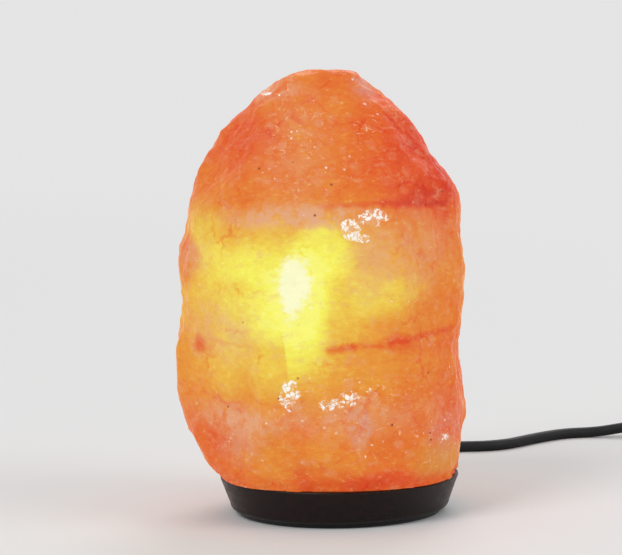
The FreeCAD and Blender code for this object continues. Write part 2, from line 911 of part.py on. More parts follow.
cap_foot = tip_bottom + s.tip_tall + s.vitrite_tall
cap_head = cap_foot + s.bulb_cap_long
glass_centre = tip_bottom + s.glass_rise
stem_top = tip_bottom + s.stem_rise
filament_level = tip_bottom + s.filament_rise
glass_neck = s.cap_core_radius - s.bulb_cap_wall


def make_bulb_cap():
    core, inner = s.cap_core_radius, s.cap_core_radius - s.bulb_cap_wall
    body = turned("bulb_cap_tube", [
        (core - 0.9, cap_foot),
        (core, cap_foot + 0.9),
        (core, cap_head - 2.6),
        (s.bulb_cap_collar, cap_head - 1.4),
        (s.bulb_cap_collar, cap_head),
        (s.bulb_cap_collar - s.bulb_cap_wall, cap_head),
        (s.bulb_cap_collar - s.bulb_cap_wall, cap_head - 1.2),
        (inner, cap_head - 2.2),
        (inner, cap_foot + 1.1),
        (core - 1.2, cap_foot + 0.4),
        (core - 1.2, cap_foot),
    ])
    # half a pitch away from the shell's ridge
    start = shell_bottom + 1.2 + s.thread_pitch * 1.5
    ridge = thread_ridge(core.number - 0.2, s.cap_ridge_radius.number, start.number, s.cap_ridge_turns.number)
    node("bulb_cap", threaded(body, ridge))


def make_bulb_foot():
    tip_top = tip_bottom + s.tip_tall
    node("bulb_insulator", turned("bulb_insulator_cone", [
        (0, tip_top),
        (s.tip_radius + 0.4, tip_top),
        (s.cap_core_radius - 1.2, cap_foot - 0.4),
        (s.cap_core_radius - 1.2, cap_foot + 0.4),
        (0, cap_foot + 0.4),
    ]))
    node("bulb_contact", turned("bulb_contact_button", [
        (0, tip_bottom),
        (s.tip_radius - 0.9, tip_bottom),
        (s.tip_radius, tip_bottom + 0.5),
        (s.tip_radius, tip_top - 0.02),
        (0, tip_top - 0.02),
    ]))


def pear(radius, neck, bottom):
    # a straight neck, a flare that meets the ball in line, and the ball
    slope = math.radians(35)
    across, down = round(math.cos(slope), 6), round(math.sin(slope), 6)
    ball_foot = glass_centre - radius * down
    flare_foot = ball_foot - (radius * across - neck) * round(1 / math.tan(slope), 6)
    return fuse(
        rod(neck, flare_foot - bottom, z=bottom),
        cone(neck, radius * across, ball_foot - flare_foot, z=flare_foot),
        ball(radius, z=glass_centre),
    )


def make_bulb_glass():
    bottom, wall = cap_head - 4, s.glass_wall
    outside = pear(s.glass_radius, glass_neck, bottom)
    inside = pear(s.glass_radius - wall, glass_neck - wall, bottom - 1)
    node("bulb_glass", cut(outside, inside))


def make_bulb_inside():
    bottom = cap_head - 4
    neck = glass_neck - s.glass_wall
    node("bulb_stem", turned("bulb_stem_blown", [
        (0, bottom),
        (neck, bottom),
        (neck - 0.4, bottom + 0.8),
        (s.stem_radius, bottom + 4),
        (s.stem_radius, stem_top - 2),
        (1.2, stem_top),
        (0, stem_top),
    ]))
    reach, level = s.filament_reach.number, filament_level.number
    leads = []
    for side in (-1, 1):
        points = [
            (side * 0.9, 0, stem_top.number),
            (side * 1.1, 0, stem_top.number + 3),
            (side * reach * 0.75, 0, level - 5),
            (side * reach, 0, level - s.filament_radius.number),
        ]
        leads.append(shaped(bent_wire(points, s.lead_radius.number, "bulb lead"), "BulbLead"))
    node("bulb_leads", group(*leads))
    stem = stem_top.number
    points = [(0, 0.2, stem), (0, 0.5, stem + 4), (0, 3.4, level - 3), (0, 4, level - 0.8)]
    support = bent_wire(points, s.lead_radius.number * 0.7, "filament support")
    node("filament_support", shaped(support, "FilamentSupport"))
    ends = [Vector(side * reach, 0, level + 0.1) for side in (-1, 1)]
    arc = Part.Arc(ends[0], Vector(0, 4, level), ends[1]).toShape()
    node("bulb_filament", shaped(tube([arc], s.filament_radius.number, "filament"), "Filament"))


# ---- cord ----

case_half = s.switch_long / 2


def make_cord():
    switch = Vector(s.switch_x.number, s.switch_y.number, s.switch_parting.number)
    reach = Vector(case_half.number - s.cord_in_case.number, 0, 0)
    lead = Vector(case_half.number + 11, 0, 0)
    points = [Vector(0, 0, sheath_end.number)]
    points += [Vector(*point) for point in cord_to_switch]
    points += [switch - lead, switch - reach]
    node("cord_lamp_side", shaped(tube(route_edges(points, "lamp cord"), s.cord_radius.number, "lamp cord")))

    stations = coil_stations()
    points = [switch + reach, switch + lead * 0.98]
    points += [Vector(*point) for point in cord_to_coil]
    points.append(stations[0][0])
    node("cord_middle", shaped(tube(route_edges(points, "middle cord"), s.cord_radius.number, "middle cord")))

    edges = []
    for (spot, heading), (after, onward) in zip(stations, stations[1:]):
        edges += two_arcs(spot, heading, after, onward)
    node("cord_coil", shaped(tube(edges, s.cord_radius.number, "coil")))
    print(f"coil: least gap to itself {least_gap(edges, s.cord_radius.number):.2f}")

    start, heading = stations[-1]
    plug = Vector(s.plug_x.number, plug_cord_end.number, s.plug_level.number)
    points = [start, start + Vector(0, -14, 0), plug + Vector(0, 12, 0), plug]
    node("cord_plug_side", shaped(tube(route_edges(points, "plug cord"), s.cord_radius.number, "plug cord")))


# ---- cord switch ----

inside_half = s.switch_wide / 2 - s.switch_wall
case_floor = s.switch_wall
case_ceiling = s.switch_tall - s.switch_wall
pivot = s.rocker_pivot_level
clamp_inset = 5


def case_solid(name, half_long, half_wide, corner, bottom, tall):
    # a block with its four upright edges rounded
    body = new_body(name)
    sketch = sketch_on(body, "XY_Plane", f"{name}_plan")
    outline(sketch, [
        (-half_long, -half_wide),
        (half_long, -half_wide),
        (half_long, half_wide),
        (-half_long, half_wide),
    ])
    bind(sketch, "AttachmentOffset.Base.z", bottom)
    padded(body, sketch, tall)
    rounded(body, corner, upright)
    return body


def in_switch(name, item):
    # places a piece made about the switch's own middle
    put(item, s.switch_x, s.switch_y, 0)
    return node(name, item)


def cord_ways():
    return [rod(s.cord_radius, s.switch_long * 2, -s.switch_long, 0, s.switch_parting, x_turn)]


def case_screw_places():
    return [(s.case_screw_x * side, -s.case_screw_y) for side in (-1, 1)]


def make_switch_case():
    half_wide, corner, wall = s.switch_wide / 2, s.switch_corner, s.switch_wall
    tub = case_solid("switch_tub", case_half, half_wide, corner, 0, s.switch_parting)
    rounded(tub, 1.2, at_level(0))
    hollow = case_solid(
        "switch_tub_hollow", case_half - wall, inside_half, corner - wall, case_floor, s.switch_parting
    )
    saddle_tall = s.switch_parting - s.cord_radius - case_floor + 0.9
    saddles = [
        block((case_half - clamp_inset) * side, 0, case_floor, 3, 12, saddle_tall) for side in (-1, 1)
    ]
    post_tall = s.switch_parting - case_floor
    posts = [rod(s.case_post_radius, post_tall, x, y, case_floor) for x, y in case_screw_places()]
    holes = []
    for x, y in case_screw_places():
        holes.append(rod(s.case_screw_radius + 0.1, s.switch_parting + 2, x, y, -1))
        holes.append(rod(s.case_post_radius, 2, x, y, -1))
    in_switch("switch_case_bottom", cut(fuse(cut(tub, hollow), *saddles, *posts), *holes, *cord_ways()))

    lid_tall = s.switch_tall - s.switch_parting
    lid = case_solid("switch_lid", case_half, half_wide, corner, s.switch_parting, lid_tall)
    rounded(lid, 2.4, at_level(s.switch_tall))
    hollow = case_solid(
        "switch_lid_hollow",
        case_half - wall,
        inside_half,
        corner - wall,
        s.switch_parting - 1,
        case_ceiling - s.switch_parting + 1,
    )
    window = block(0, 0, case_ceiling - 1, s.window_long, s.window_wide, wall + 2)
    lug_y, lug_foot = s.window_wide / 2 + 0.2 + s.lug_thick / 2, pivot - 2.4
    lugs = [block(0, lug_y * side, lug_foot, 6, s.lug_thick, case_ceiling - lug_foot) for side in (-1, 1)]
    posts = [
        rod(s.case_post_radius, case_ceiling - s.switch_parting, x, y, s.switch_parting)
        for x, y in case_screw_places()
    ]
    axle_end = s.rocker_pin_reach + s.rocker_pin_end_slack
    axle_way = rod(s.rocker_pin_radius + s.rocker_pin_slack, axle_end * 2, 0, -axle_end, pivot, y_turn)
    holes = [rod(s.case_screw_radius, 4.6, x, y, s.switch_parting - 0.6) for x, y in case_screw_places()]
    ways = cord_ways()
    in_switch("switch_case_top", cut(fuse(cut(lid, hollow, window), *lugs, *posts), axle_way, *holes, *ways))

    screws = []
    for x, y in case_screw_places():
        shank = rod(s.case_screw_radius, 9.4, x, y, 1.2)
        head = rod(s.case_post_radius - 0.2, 0.9, x, y, 0.1)
        screws.append(fuse(shank, head, rod(s.case_screw_radius, 0.4, x, y, 0.9)))
    in_switch("switch_case_screws", group(*screws))


def make_switch_rocker():
    # modelled level about its own pivot, then tilted to the on position
    body = new_body("rocker_paddle")
    sketch = sketch_on(body, "XZ_Plane", "rocker_side")
    half = s.rocker_half_long
    outline(sketch, [
        (-half, 0.2),
        (-3, -s.rocker_keel),
        (3, -s.rocker_keel),
        (half, 0.2),
        (half, s.rocker_end_top),
        (0, s.rocker_middle_top),
        (-half, s.rocker_end_top),
    ])
    padded(body, sketch, s.rocker_wide, both_ways=True)
    axle = rod(s.rocker_pin_radius, s.rocker_pin_reach * 2, 0, -s.rocker_pin_reach, 0, y_turn)
    rocker = fuse(body, axle)
    on_turn = Rotation(Vector(0, 1, 0), s.rocker_tilt.number)
    put(rocker, s.switch_x, s.switch_y, pivot, on_turn)
    node("switch_rocker", rocker)
    plunger = fuse(
        rod(s.plunger_radius, s.plunger_down - s.rocker_keel, 0, 0, -s.plunger_down),
        ball(s.plunger_radius, 0, 0, -s.plunger_down),
    )
    put(plunger, s.switch_x, s.switch_y, pivot, on_turn)
    node("switch_plunger", plunger)

    strip = block(0, 0, 0, s.seesaw_half_long * 2, s.seesaw_wide, s.seesaw_thick)
    axle_long = s.seesaw_wide + 1.6
    seesaw = fuse(strip, rod(s.seesaw_axle_radius, axle_long, 0, -axle_long / 2, 0, y_turn))
    put(seesaw, s.switch_x, s.switch_y, s.seesaw_level, Rotation(Vector(0, 1, 0), -s.seesaw_tilt.number))
    node("switch_seesaw", seesaw)


def make_switch_terminals():
    wide, foot = s.seesaw_wide, s.terminal_foot
    up = case_floor + foot
    drop = s.contact_reach * round(math.sin(math.radians(s.seesaw_tilt.number)), 6)
    post, level = s.terminal_post_x, s.seesaw_level
    live = fuse(
        block(-post + 2.5, 0, case_floor, 10, wide, foot),
        block(-post, 0, case_floor, 5, wide, s.terminal_tall),
        block(-s.contact_reach, 0, up, 2, wide, level - drop - up - 0.25),
    )
    seat = rod(s.seesaw_axle_radius + s.seesaw_axle_slack, wide + 2, 0, -wide / 2 - 1, level, y_turn)
    fulcrum = fuse(
        block((post + 1.5) / 2, 0, case_floor, post + 3.5, wide, foot),
        block(post, 0, case_floor, 5, wide, s.terminal_tall),
        cut(block(0, 0, up, 1.6, wide, level - up - 0.2), seat),
    )
    wire_end = 2.6
    ways = [
        rod(s.wire_radius, wire_end, x, 0, 4, x_turn) for x in (-post + 0.1 - wire_end, post - 0.1)
    ]
    in_switch("switch_terminals", group(cut(live, ways[0]), cut(fulcrum, ways[1])))
    top = case_floor + s.terminal_tall
    screws = []
    for side in (-1, 1):
        head = rod(s.terminal_screw_radius, 1.2, post * side, 0, top)
        screws.append(cut(head, block(post * side, 0, top + 0.8, 0.6, 4, 1)))
    in_switch("switch_terminal_screws", group(*screws))

    clamps, screws = [], []
    for side in (-1, 1):
        x = (case_half - clamp_inset) * side
        top = s.switch_parting + s.cord_radius - 0.3
        way = rod(s.cord_radius, 8, x - 4, 0, s.switch_parting, x_turn)
        clamps.append(cut(block(x, 0, top - 2, 3, 13, 3.6), way))
        for row in (-1, 1):
            screws.append(rod(0.9, 1, x, row * 5.2, top + 1.6))
    in_switch("switch_clamps", group(*clamps))
    in_switch("switch_clamp_screws", group(*screws))


def make_switch_wires():
    end = case_half.number - s.cord_in_case.number
    level, apart, radius = s.switch_parting.number, s.wire_apart.number, s.wire_radius.number
    wires = [bent_wire(
        [(-end, apart, level), (-end + 3, apart, level), (-12, 5.6, 4), (12, 5.7, 4),
         (end - 3, apart, level), (end, apart, level)],
        radius,
        "through wire",
    )]
    for side in (-1, 1):
        points = [
            (side * end, -apart, level),
            (side * (end - 2.5), -apart, level),
            (side * (s.terminal_post_x.number + 5), 0, 4),
            (side * (s.terminal_post_x.number - 0.1), 0, 4),
        ]
        wires.append(bent_wire(points, radius, "switched wire"))
    in_switch("switch_wires", group(*[shaped(wire, "SwitchWire") for wire in wires]))


# ---- plug ----

plug_back = s.plug_face_y + s.plug_body_long
plug_bottom = s.plug_level - s.plug_thick / 2
plug_cord_end = plug_back + s.relief_long - s.relief_overlap
relief_rings = 5


def relief_ring(number):
    # one of the grooves that let the tapered relief bend
    along = s.relief_ring_step * number
    radius = s.relief_radius - (s.relief_radius - s.relief_end_radius) * along / s.relief_long
    wide = s.relief_ring_wide
    return cut(
        rod(s.relief_radius + 1, wide, s.plug_x, plug_back + along, s.plug_level, y_turn),
        rod(radius - s.relief_ring_deep, wide * 3, s.plug_x, plug_back + along - wide, s.plug_level, y_turn),
    )


def make_plug():
    body = new_body("plug_moulding")
    sketch = sketch_on(body, "XY_Plane", "plug_plan")
    bind(sketch, "AttachmentOffset.Base.z", plug_bottom)
    half, neck = s.plug_wide / 2, s.plug_neck_wide / 2
    outline(sketch, [
        (s.plug_x - half, s.plug_face_y),
        (s.plug_x - half, s.plug_face_y + 6),
        (s.plug_x - half + 2.5, s.plug_face_y + 12),
        (s.plug_x - neck, plug_back),
        (s.plug_x + neck, plug_back),
        (s.plug_x + half - 2.5, s.plug_face_y + 12),
        (s.plug_x + half, s.plug_face_y + 6),
        (s.plug_x + half, s.plug_face_y),
    ])
    padded(body, sketch, s.plug_thick)
    rounded(body, s.plug_edge, lambda e: at_level(plug_bottom)(e) or at_level(plug_bottom + s.plug_thick)(e))
    overlap = s.relief_overlap
    root = rod(s.relief_radius, overlap, s.plug_x, plug_back - overlap, s.plug_level, y_turn)
    taper = cone(
        s.relief_radius, s.relief_end_radius, s.relief_long, s.plug_x, plug_back, s.plug_level, y_turn,
    )
    rings = [relief_ring(number) for number in range(1, relief_rings + 1)]
    way = rod(s.cord_radius, s.relief_long, s.plug_x, plug_cord_end, s.plug_level, y_turn)
    lean = math.degrees(math.atan((s.pin_face_apart.number - s.pin_tip_apart.number) / 2 / s.pin_long.number))
    pins, sleeves, sockets = [], [], []
    for side in (-1, 1):
        x = s.plug_x + s.pin_face_apart / 2 * side
        turn = Rotation(Vector(0, 0, 1), -lean * side) * Rotation(Vector(1, 0, 0), 90)
        stem = rod(s.pin_stem_radius, s.pin_root_long + s.pin_sleeve_long, 0, 0, -s.pin_root_long)
        bare = rod(s.pin_radius, s.pin_long - s.pin_sleeve_long - s.pin_nose, 0, 0, s.pin_sleeve_long)
        nose = cone(s.pin_radius, s.pin_radius - s.pin_nose, s.pin_nose, 0, 0, s.pin_long - s.pin_nose)
        pins.append(put(fuse(stem, bare, nose), x, s.plug_face_y, s.plug_level, turn))
        tube_outer = rod(s.pin_sleeve_radius, s.pin_sleeve_long - s.pin_sleeve_gap - 0.06, z=0.06)
        tube_inner = rod(s.pin_stem_radius, s.pin_sleeve_long + 2, z=-1)
        sleeves.append(put(cut(tube_outer, tube_inner), x, s.plug_face_y, s.plug_level, turn))
        socket = group(rod(s.pin_stem_radius, s.pin_root_long + 1, z=-s.pin_root_long))
        sockets.append(put(socket, x, s.plug_face_y, s.plug_level, turn))
    node("plug_body", cut(fuse(body, root, taper), *rings, way, *sockets))
    node("plug_pins", group(*pins))
    node("plug_pin_sleeves", group(*sleeves))


make_crystal()
make_base()
make_screws()
make_felt()
make_holder_cap()
make_holder_sleeve()
make_contact_block()
make_contacts()
make_thread_shell()
make_nipple_and_clip()
make_cord_grip()
make_holder_leads()
make_bulb_cap()
make_bulb_foot()
make_bulb_glass()
make_bulb_inside()
make_cord()
make_switch_case()
make_switch_rocker()
make_switch_terminals()
make_switch_wires()
make_plug()
doc.recompute()

failed = [item.Name for item in doc.Objects if "Invalid" in item.State or "Error" in item.State]
for item in nodes:
    if item.Shape.isNull() or not item.Shape.isValid() or not item.Shape.Solids:
        failed.append(item.Label)
if failed:
    raise RuntimeError(f"these did not come out: {failed}")

os.makedirs("parts", exist_ok=True)
for item in nodes:
    box = item.Shape.optimalBoundingBox()
    print(
        f"{item.Label:24} solids {len(item.Shape.Solids):2} volume {item.Shape.Volume:12.1f}"
        f"  x {box.XMin:.1f}..{box.XMax:.1f}  y {box.YMin:.1f}..{box.YMax:.1f}"
        f"  z {box.ZMin:.1f}..{box.ZMax:.1f}"
    )
    item.Shape.exportStep(f"parts/{item.Label}.step")
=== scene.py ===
# A lit salt crystal lamp: hewn rock salt on a dark turned base, with its lampholder, bulb,
# mains cord, cord switch and plug. Metres, Z up, front towards -Y.
import json
import math

import bmesh
import bpy
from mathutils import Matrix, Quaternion, Vector


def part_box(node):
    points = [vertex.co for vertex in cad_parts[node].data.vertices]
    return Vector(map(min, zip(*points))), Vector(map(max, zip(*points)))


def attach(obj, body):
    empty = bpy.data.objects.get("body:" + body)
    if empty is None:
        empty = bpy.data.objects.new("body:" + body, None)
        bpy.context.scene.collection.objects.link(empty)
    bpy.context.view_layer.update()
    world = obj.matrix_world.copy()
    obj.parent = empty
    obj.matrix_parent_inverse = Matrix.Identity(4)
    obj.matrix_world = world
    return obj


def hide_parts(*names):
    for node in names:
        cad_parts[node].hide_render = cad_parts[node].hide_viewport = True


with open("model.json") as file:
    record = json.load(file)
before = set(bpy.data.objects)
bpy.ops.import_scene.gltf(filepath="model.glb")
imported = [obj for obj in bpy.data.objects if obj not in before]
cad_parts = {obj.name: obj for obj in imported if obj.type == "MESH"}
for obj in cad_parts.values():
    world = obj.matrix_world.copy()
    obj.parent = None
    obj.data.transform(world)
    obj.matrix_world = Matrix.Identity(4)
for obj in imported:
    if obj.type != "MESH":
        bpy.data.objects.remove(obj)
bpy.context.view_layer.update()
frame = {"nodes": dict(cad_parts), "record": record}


# camera and cords

viewSettings = {
    "place": (0, -1.4, 0.255),
    "target": (-0.01245, 0, 0.11845),
    "roll": -1.07,  # degrees, the picture leans a little
    "lens": 162.1,
    "sensor": 36,
}


def makeCamera(settings):
    data = bpy.data.cameras.new("camera")
    data.lens, data.sensor_width = settings["lens"], settings["sensor"]
    data.clip_start, data.clip_end = 0.05, 100
    camera = bpy.data.objects.new("camera", data)
    bpy.context.collection.objects.link(camera)
    place = Vector(settings["place"])
    turn = (Vector(settings["target"]) - place).to_track_quat("-Z", "Y")
    camera.location = place
    camera.rotation_mode = "QUATERNION"
    camera.rotation_quaternion = turn @ Quaternion((0, 0, 1), math.radians(settings["roll"]))
    bpy.context.scene.camera = camera


makeCamera(viewSettings)

cordSettings = {
    "diameter": 0.006,
    # from the lampholder, out at the back of the base and along the table to the switch
    "lampRoute": [
        (0, 0, 0.035), (0, 0, 0.0157), (0, 0.00355, 0.00955), (0, 0.0097, 0.006),
        (0.0005, 0.023, 0.006), (-0.0003, 0.046, 0.0055), (0.001, 0.07, 0.003),
        (0.005, 0.11, 0.003), (0.024, 0.152, 0.003), (0.057, 0.1785, 0.003),
        (0.091, 0.177, 0.003), (0.113, 0.2035, 0.003), (0.132, 0.2205, 0.003),
        (0.152, 0.2225, 0.003), (0.173, 0.22, 0.007), (0.192, 0.22, 0.007),
    ],
    "lampLength": 0.371,
    # from the switch to the coil, and from the coil to the plug
    "toCoil": [
        (0.238, 0.22, 0.007), (0.25616, 0.22, 0.007), (0.2725, 0.2112, 0.0054),
        (0.2813, 0.1955, 0.0034), (0.2816, 0.178, 0.003),
    ],
    "toPlug": [(0.2815, 0.146, 0.0095), (0.2815, 0.130, 0.007), (0.2815, 0.118, 0.007)],
    "plugLength": 1.102,
    "coilCentre": (0.2425, 0.16),
    "coilRadius": 0.039,
    "coilStep": 0.0065,
    "coilTurns": 5,
    "pointsPerTurn": 16,
}


def coilRoute(settings):
    # in on the lower layer, up where the spiral reverses, and out again on the upper one
    centreX, centreY = settings["coilCentre"]
    perTurn, turns, step = settings["pointsPerTurn"], settings["coilTurns"], settings["coilStep"]
    inner = settings["coilRadius"] - step * turns / 2
    outward = 1 / math.cos(math.pi / perTurn)  # the spline runs inside its points
    points = []
    for number in range(perTurn * turns):
        turn = (number + 0.5) / perTurn
        radius = (inner + abs(turn - turns / 2) * step) * outward
        climb = min(max((turn - turns / 2 + 0.25) / 0.5, 0), 1)
        angle = -turn * 2 * math.pi
        level = settings["diameter"] / 2 + step * climb
        points.append((centreX + radius * math.cos(angle), centreY + radius * math.sin(angle), level))
    return points


def makeCord(name, route, settings):
    curve = bpy.data.curves.new(name, "CURVE")
    curve.dimensions = "3D"
    line = curve.splines.new("NURBS")
    line.points.add(len(route) - 1)
    for point, place in zip(line.points, route):
        point.co = (*place, 1)
        point.radius = settings["diameter"] / 2
    line.order_u = 3
    line.use_endpoint_u = True
    line.resolution_u = 8
    curve.bevel_depth = 1  # times each point's radius
    curve.bevel_resolution = 5
    curve.use_fill_caps = True
    cord = bpy.data.objects.new(name, curve)
    bpy.context.collection.objects.link(cord)
    return cord


plugRoute = cordSettings["toCoil"] + coilRoute(cordSettings) + cordSettings["toPlug"]
lampCord = makeCord("lamp_cord", cordSettings["lampRoute"], cordSettings)
plugCord = makeCord("plug_cord", plugRoute, cordSettings)
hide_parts("cord_lamp_side")
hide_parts("cord_middle", "cord_coil", "cord_plug_side")
for cord in (lampCord, plugCord):
    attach(cord, "light_unit")
print("camera and cords made")


# node trees written as expressions

class Wire:
    # one output in a node tree, used in sums as a number or a vector
    def __init__(self, tree, socket):
        self.tree, self.socket = tree, socket

    def isNumber(self):
        return self.socket.type == "VALUE"

    def sum(self, operation, first, second):
        values = {0: first, 1: second}
        kind = "ShaderNodeMath" if self.isNumber() else "ShaderNodeVectorMath"
        if operation == "MULTIPLY" and not self.isNumber() and isSingle(second):
            operation, values = "SCALE", {0: first, "Scale": second}
        return self.tree.add(kind, {"operation": operation}, values)

    def __add__(self, other):
        return self.sum("ADD", self, other)

    def __radd__(self, other):
        return self.sum("ADD", self, other)

    def __sub__(self, other):
        return self.sum("SUBTRACT", self, other)

    def __rsub__(self, other):
        return self.sum("SUBTRACT", other, self)

    def __mul__(self, other):
        return self.sum("MULTIPLY", self, other)

    def __rmul__(self, other):
        return self.sum("MULTIPLY", self, other)

    def __truediv__(self, other):
        return self.sum("DIVIDE", self, other)

    def __rtruediv__(self, other):
        return self.sum("DIVIDE", other, self)

    def length(self):
        return self.tree.add("ShaderNodeVectorMath", {"operation": "LENGTH"}, {0: self}, "Value")


def isSingle(value):
    return value.isNumber() if isinstance(value, Wire) else isinstance(value, (int, float))


class Tree:
    # what a material and a shape tree share
    def __init__(self, tree):
        self.tree = tree

    def feed(self, socket, value):
        if isinstance(value, Wire):
            self.tree.links.new(value.socket, socket)
        elif socket.type == "RGBA" and len(value) == 3:
            socket.default_value = (*value, 1)
        else:
            socket.default_value = value

    def add(self, kind, settings=None, values=None, result=0):
        node = self.tree.nodes.new(kind)
        for word, value in (settings or {}).items():
            if word == "stops":
                fillRamp(node.color_ramp, value)
            else:
                setattr(node, word, value)
        for key, value in (values or {}).items():
            self.feed(node.inputs[key], value)
        return Wire(self, node.outputs[result])

    def noise(self, place, scale, detail=3.0, rough=0.55, result=0):
        values = {"Vector": place, "Scale": scale, "Detail": detail, "Roughness": rough}
        return self.add("ShaderNodeTexNoise", {}, values, result)

    def cells(self, place, scale, feature="F1", result="Distance"):
        values = {"Vector": place, "Scale": scale}
        return self.add("ShaderNodeTexVoronoi", {"feature": feature}, values, result)

    def spots(self, place, scale, share, reach):
        # round spots in a share of the cells, reach across in cells
        away = self.cells(place, scale)
        chance = self.parted(Wire(self, away.socket.node.outputs["Color"]))[0]
        return self.between(away, reach * 0.5, reach, 1, 0) * self.between(chance, 1 - share, 1.02 - share)

    def between(self, value, low, high, start=0.0, end=1.0):
        # from start to end, smoothly, as the value goes from low to high
        values = {"Value": value, "From Min": low, "From Max": high, "To Min": start, "To Max": end}
        return self.add("ShaderNodeMapRange", {"interpolation_type": "SMOOTHSTEP"}, values)

    def parted(self, vector):
        return [self.add("ShaderNodeSeparateXYZ", {}, {0: vector}, letter) for letter in "XYZ"]


class Paint(Tree):
    # one material, whose Principled shader keeps its plain numbers on its own sockets
    def __init__(self, name, constants):
        self.material = bpy.data.materials.new(name)
        self.material.use_nodes = True
        super().__init__(self.material.node_tree)
        self.tree.nodes.clear()
        self.shader = self.tree.nodes.new("ShaderNodeBsdfPrincipled")
        output = self.tree.nodes.new("ShaderNodeOutputMaterial")
        self.tree.links.new(self.shader.outputs[0], output.inputs[0])
        self.spot = self.add("ShaderNodeTexCoord", {}, {}, "Object") * 1000.0  # millimetres
        self.surface(constants)

    def surface(self, values):
        for word, value in values.items():
            self.feed(self.shader.inputs[word], value)
        return self.material

    def ramp(self, value, stops):
        return self.add("ShaderNodeValToRGB", {"stops": stops}, {0: value})

    def mix(self, first, second, factor):
        return self.add("ShaderNodeMix", {"data_type": "RGBA"}, {0: factor, 6: first, 7: second}, 2)

    def scaled(self, colour, share):
        return self.add("ShaderNodeVectorMath", {"operation": "SCALE"}, {0: colour, "Scale": share})

    def bump(self, height, strength, distance):
        values = {"Strength": strength, "Distance": distance, "Height": height}
        return self.add("ShaderNodeBump", {}, values)


class Form(Tree):
    # a Geometry Nodes tree with a named input for each of its sizes
    def __init__(self, name, sizes):
        super().__init__(bpy.data.node_groups.new(name, "GeometryNodeTree"))
        face = self.tree.interface
        face.new_socket("Geometry", in_out="INPUT", socket_type="NodeSocketGeometry")
        face.new_socket("Geometry", in_out="OUTPUT", socket_type="NodeSocketGeometry")
        self.sizes = sizes
        self.keys = {}
        for word, value in sizes.items():
            kind = "NodeSocketInt" if isinstance(value, int) else "NodeSocketFloat"
            self.keys[word] = face.new_socket(word, in_out="INPUT", socket_type=kind).identifier
        self.inlet = self.tree.nodes.new("NodeGroupInput")
        self.outlet = self.tree.nodes.new("NodeGroupOutput")

    def size(self, word):
        return Wire(self, self.inlet.outputs[word])

    def finish(self, geometry, material):
        realized = self.add("GeometryNodeRealizeInstances", {}, {0: geometry})
        painted = self.add("GeometryNodeSetMaterial", {}, {"Geometry": realized, "Material": material})
        self.feed(self.outlet.inputs[0], painted)

    def put(self, piece):
        # runs the tree on the piece and leaves a plain mesh
        modifier = piece.modifiers.new(self.tree.name, "NODES")
        modifier.node_group = self.tree
        for word, value in self.sizes.items():
            modifier[self.keys[word]] = value
        made = bpy.data.meshes.new_from_object(piece.evaluated_get(bpy.context.evaluated_depsgraph_get()))
        piece.modifiers.clear()
        piece.data = made
        return piece


def fillRamp(ramp, stops):
    while len(ramp.elements) < len(stops):
        ramp.elements.new(0.5)
    for element, (position, colour) in zip(ramp.elements, stops):
        element.position = position
        element.color = (*colour, 1)


def seen(red, green, blue):
    # a colour as it is seen, 0 to 255, in the shader's own light values
    shares = [value / 255 for value in (red, green, blue)]
    return tuple(v / 12.92 if v <= 0.04045 else ((v + 0.055) / 1.055) ** 2.4 for v in shares)


def grey(level):
    return (level, level, level)


# rock salt

salt = {
    "baseShare": 0.30,  # how much of the colour shows by outside light
    "glowStrength": 0.70,  # and how much by the bulb inside
    "specular": 0.15,
    "warpSize": 24.0,
    "warpReach": 9.0,
    "fineWarpSize": 5.0,
    "fineWarpReach": 3.6,
    "flatten": 1.6,  # the layers lie flat
    "turn": 12,  # front to sides, either side of the middle
    "cloudSize": 15.0,
    "cloudDepth": 0.15,
    "mottleSize": 3.6,
    "mottleDepth": 0.17,
    "gritSize": 1.3,
    "gritDepth": 0.08,
    "lumpSize": 19.0,
    "lumpDepth": 0.10,
    "creaseDepth": 0.10,
    "creaseGap": 20,
    "scoopSize": 5,
    "bumpDepth": 0.0014,
    "speckGap": 9,
    "blotchGap": 6,
    "sparkGap": 2.8,
    "facetSize": 1.9,
    "shardSize": 3,
    # size of the cells, gap between shown stretches, half width, and how few show
    "largeFracture": (5.5, 2.6, 0.07, 0.56),
    "smallFracture": (2.4, 1.6, 0.11, 0.60),
    # painted glow colours, from red where dense salt lets little of the bulb's light through to near-white
    # in clear salt close to the bulb
    "colours": [
        (0.10, seen(184, 38, 22)),
        (0.28, seen(218, 64, 34)),
        (0.40, seen(228, 92, 44)),
        (0.52, seen(231, 123, 52)),
        (0.64, seen(235, 156, 62)),
        (0.76, seen(240, 192, 74)),
        (0.88, seen(247, 228, 90)),
        (0.96, seen(251, 246, 100)),
        (1.0, seen(253, 250, 122)),
    ],
    "milkColour": seen(232, 172, 134),
    "frostColour": seen(214, 170, 160),
    "coreColour": seen(255, 254, 206),
    "oliveColour": seen(214, 160, 66),
    "glintColour": seen(255, 252, 244),
    "flakeColour": seen(250, 196, 160),
    "speckColour": seen(140, 60, 34),
    # how much light each layer lets through: height in mm, share
    "layers": [
        (19, 0.44), (28, 0.49), (38, 0.52), (52, 0.50), (64, 0.50), (80, 0.50), (89, 0.47),
        (98, 0.51), (125, 0.54), (148, 0.53), (156, 0.47), (162, 0.44), (190, 0.45), (222, 0.47),
    ],
    "glowCentre": (-4, 0, 112),
    "glowReach": (92, 92, 52),
    "glowBehind": 0.30,
}
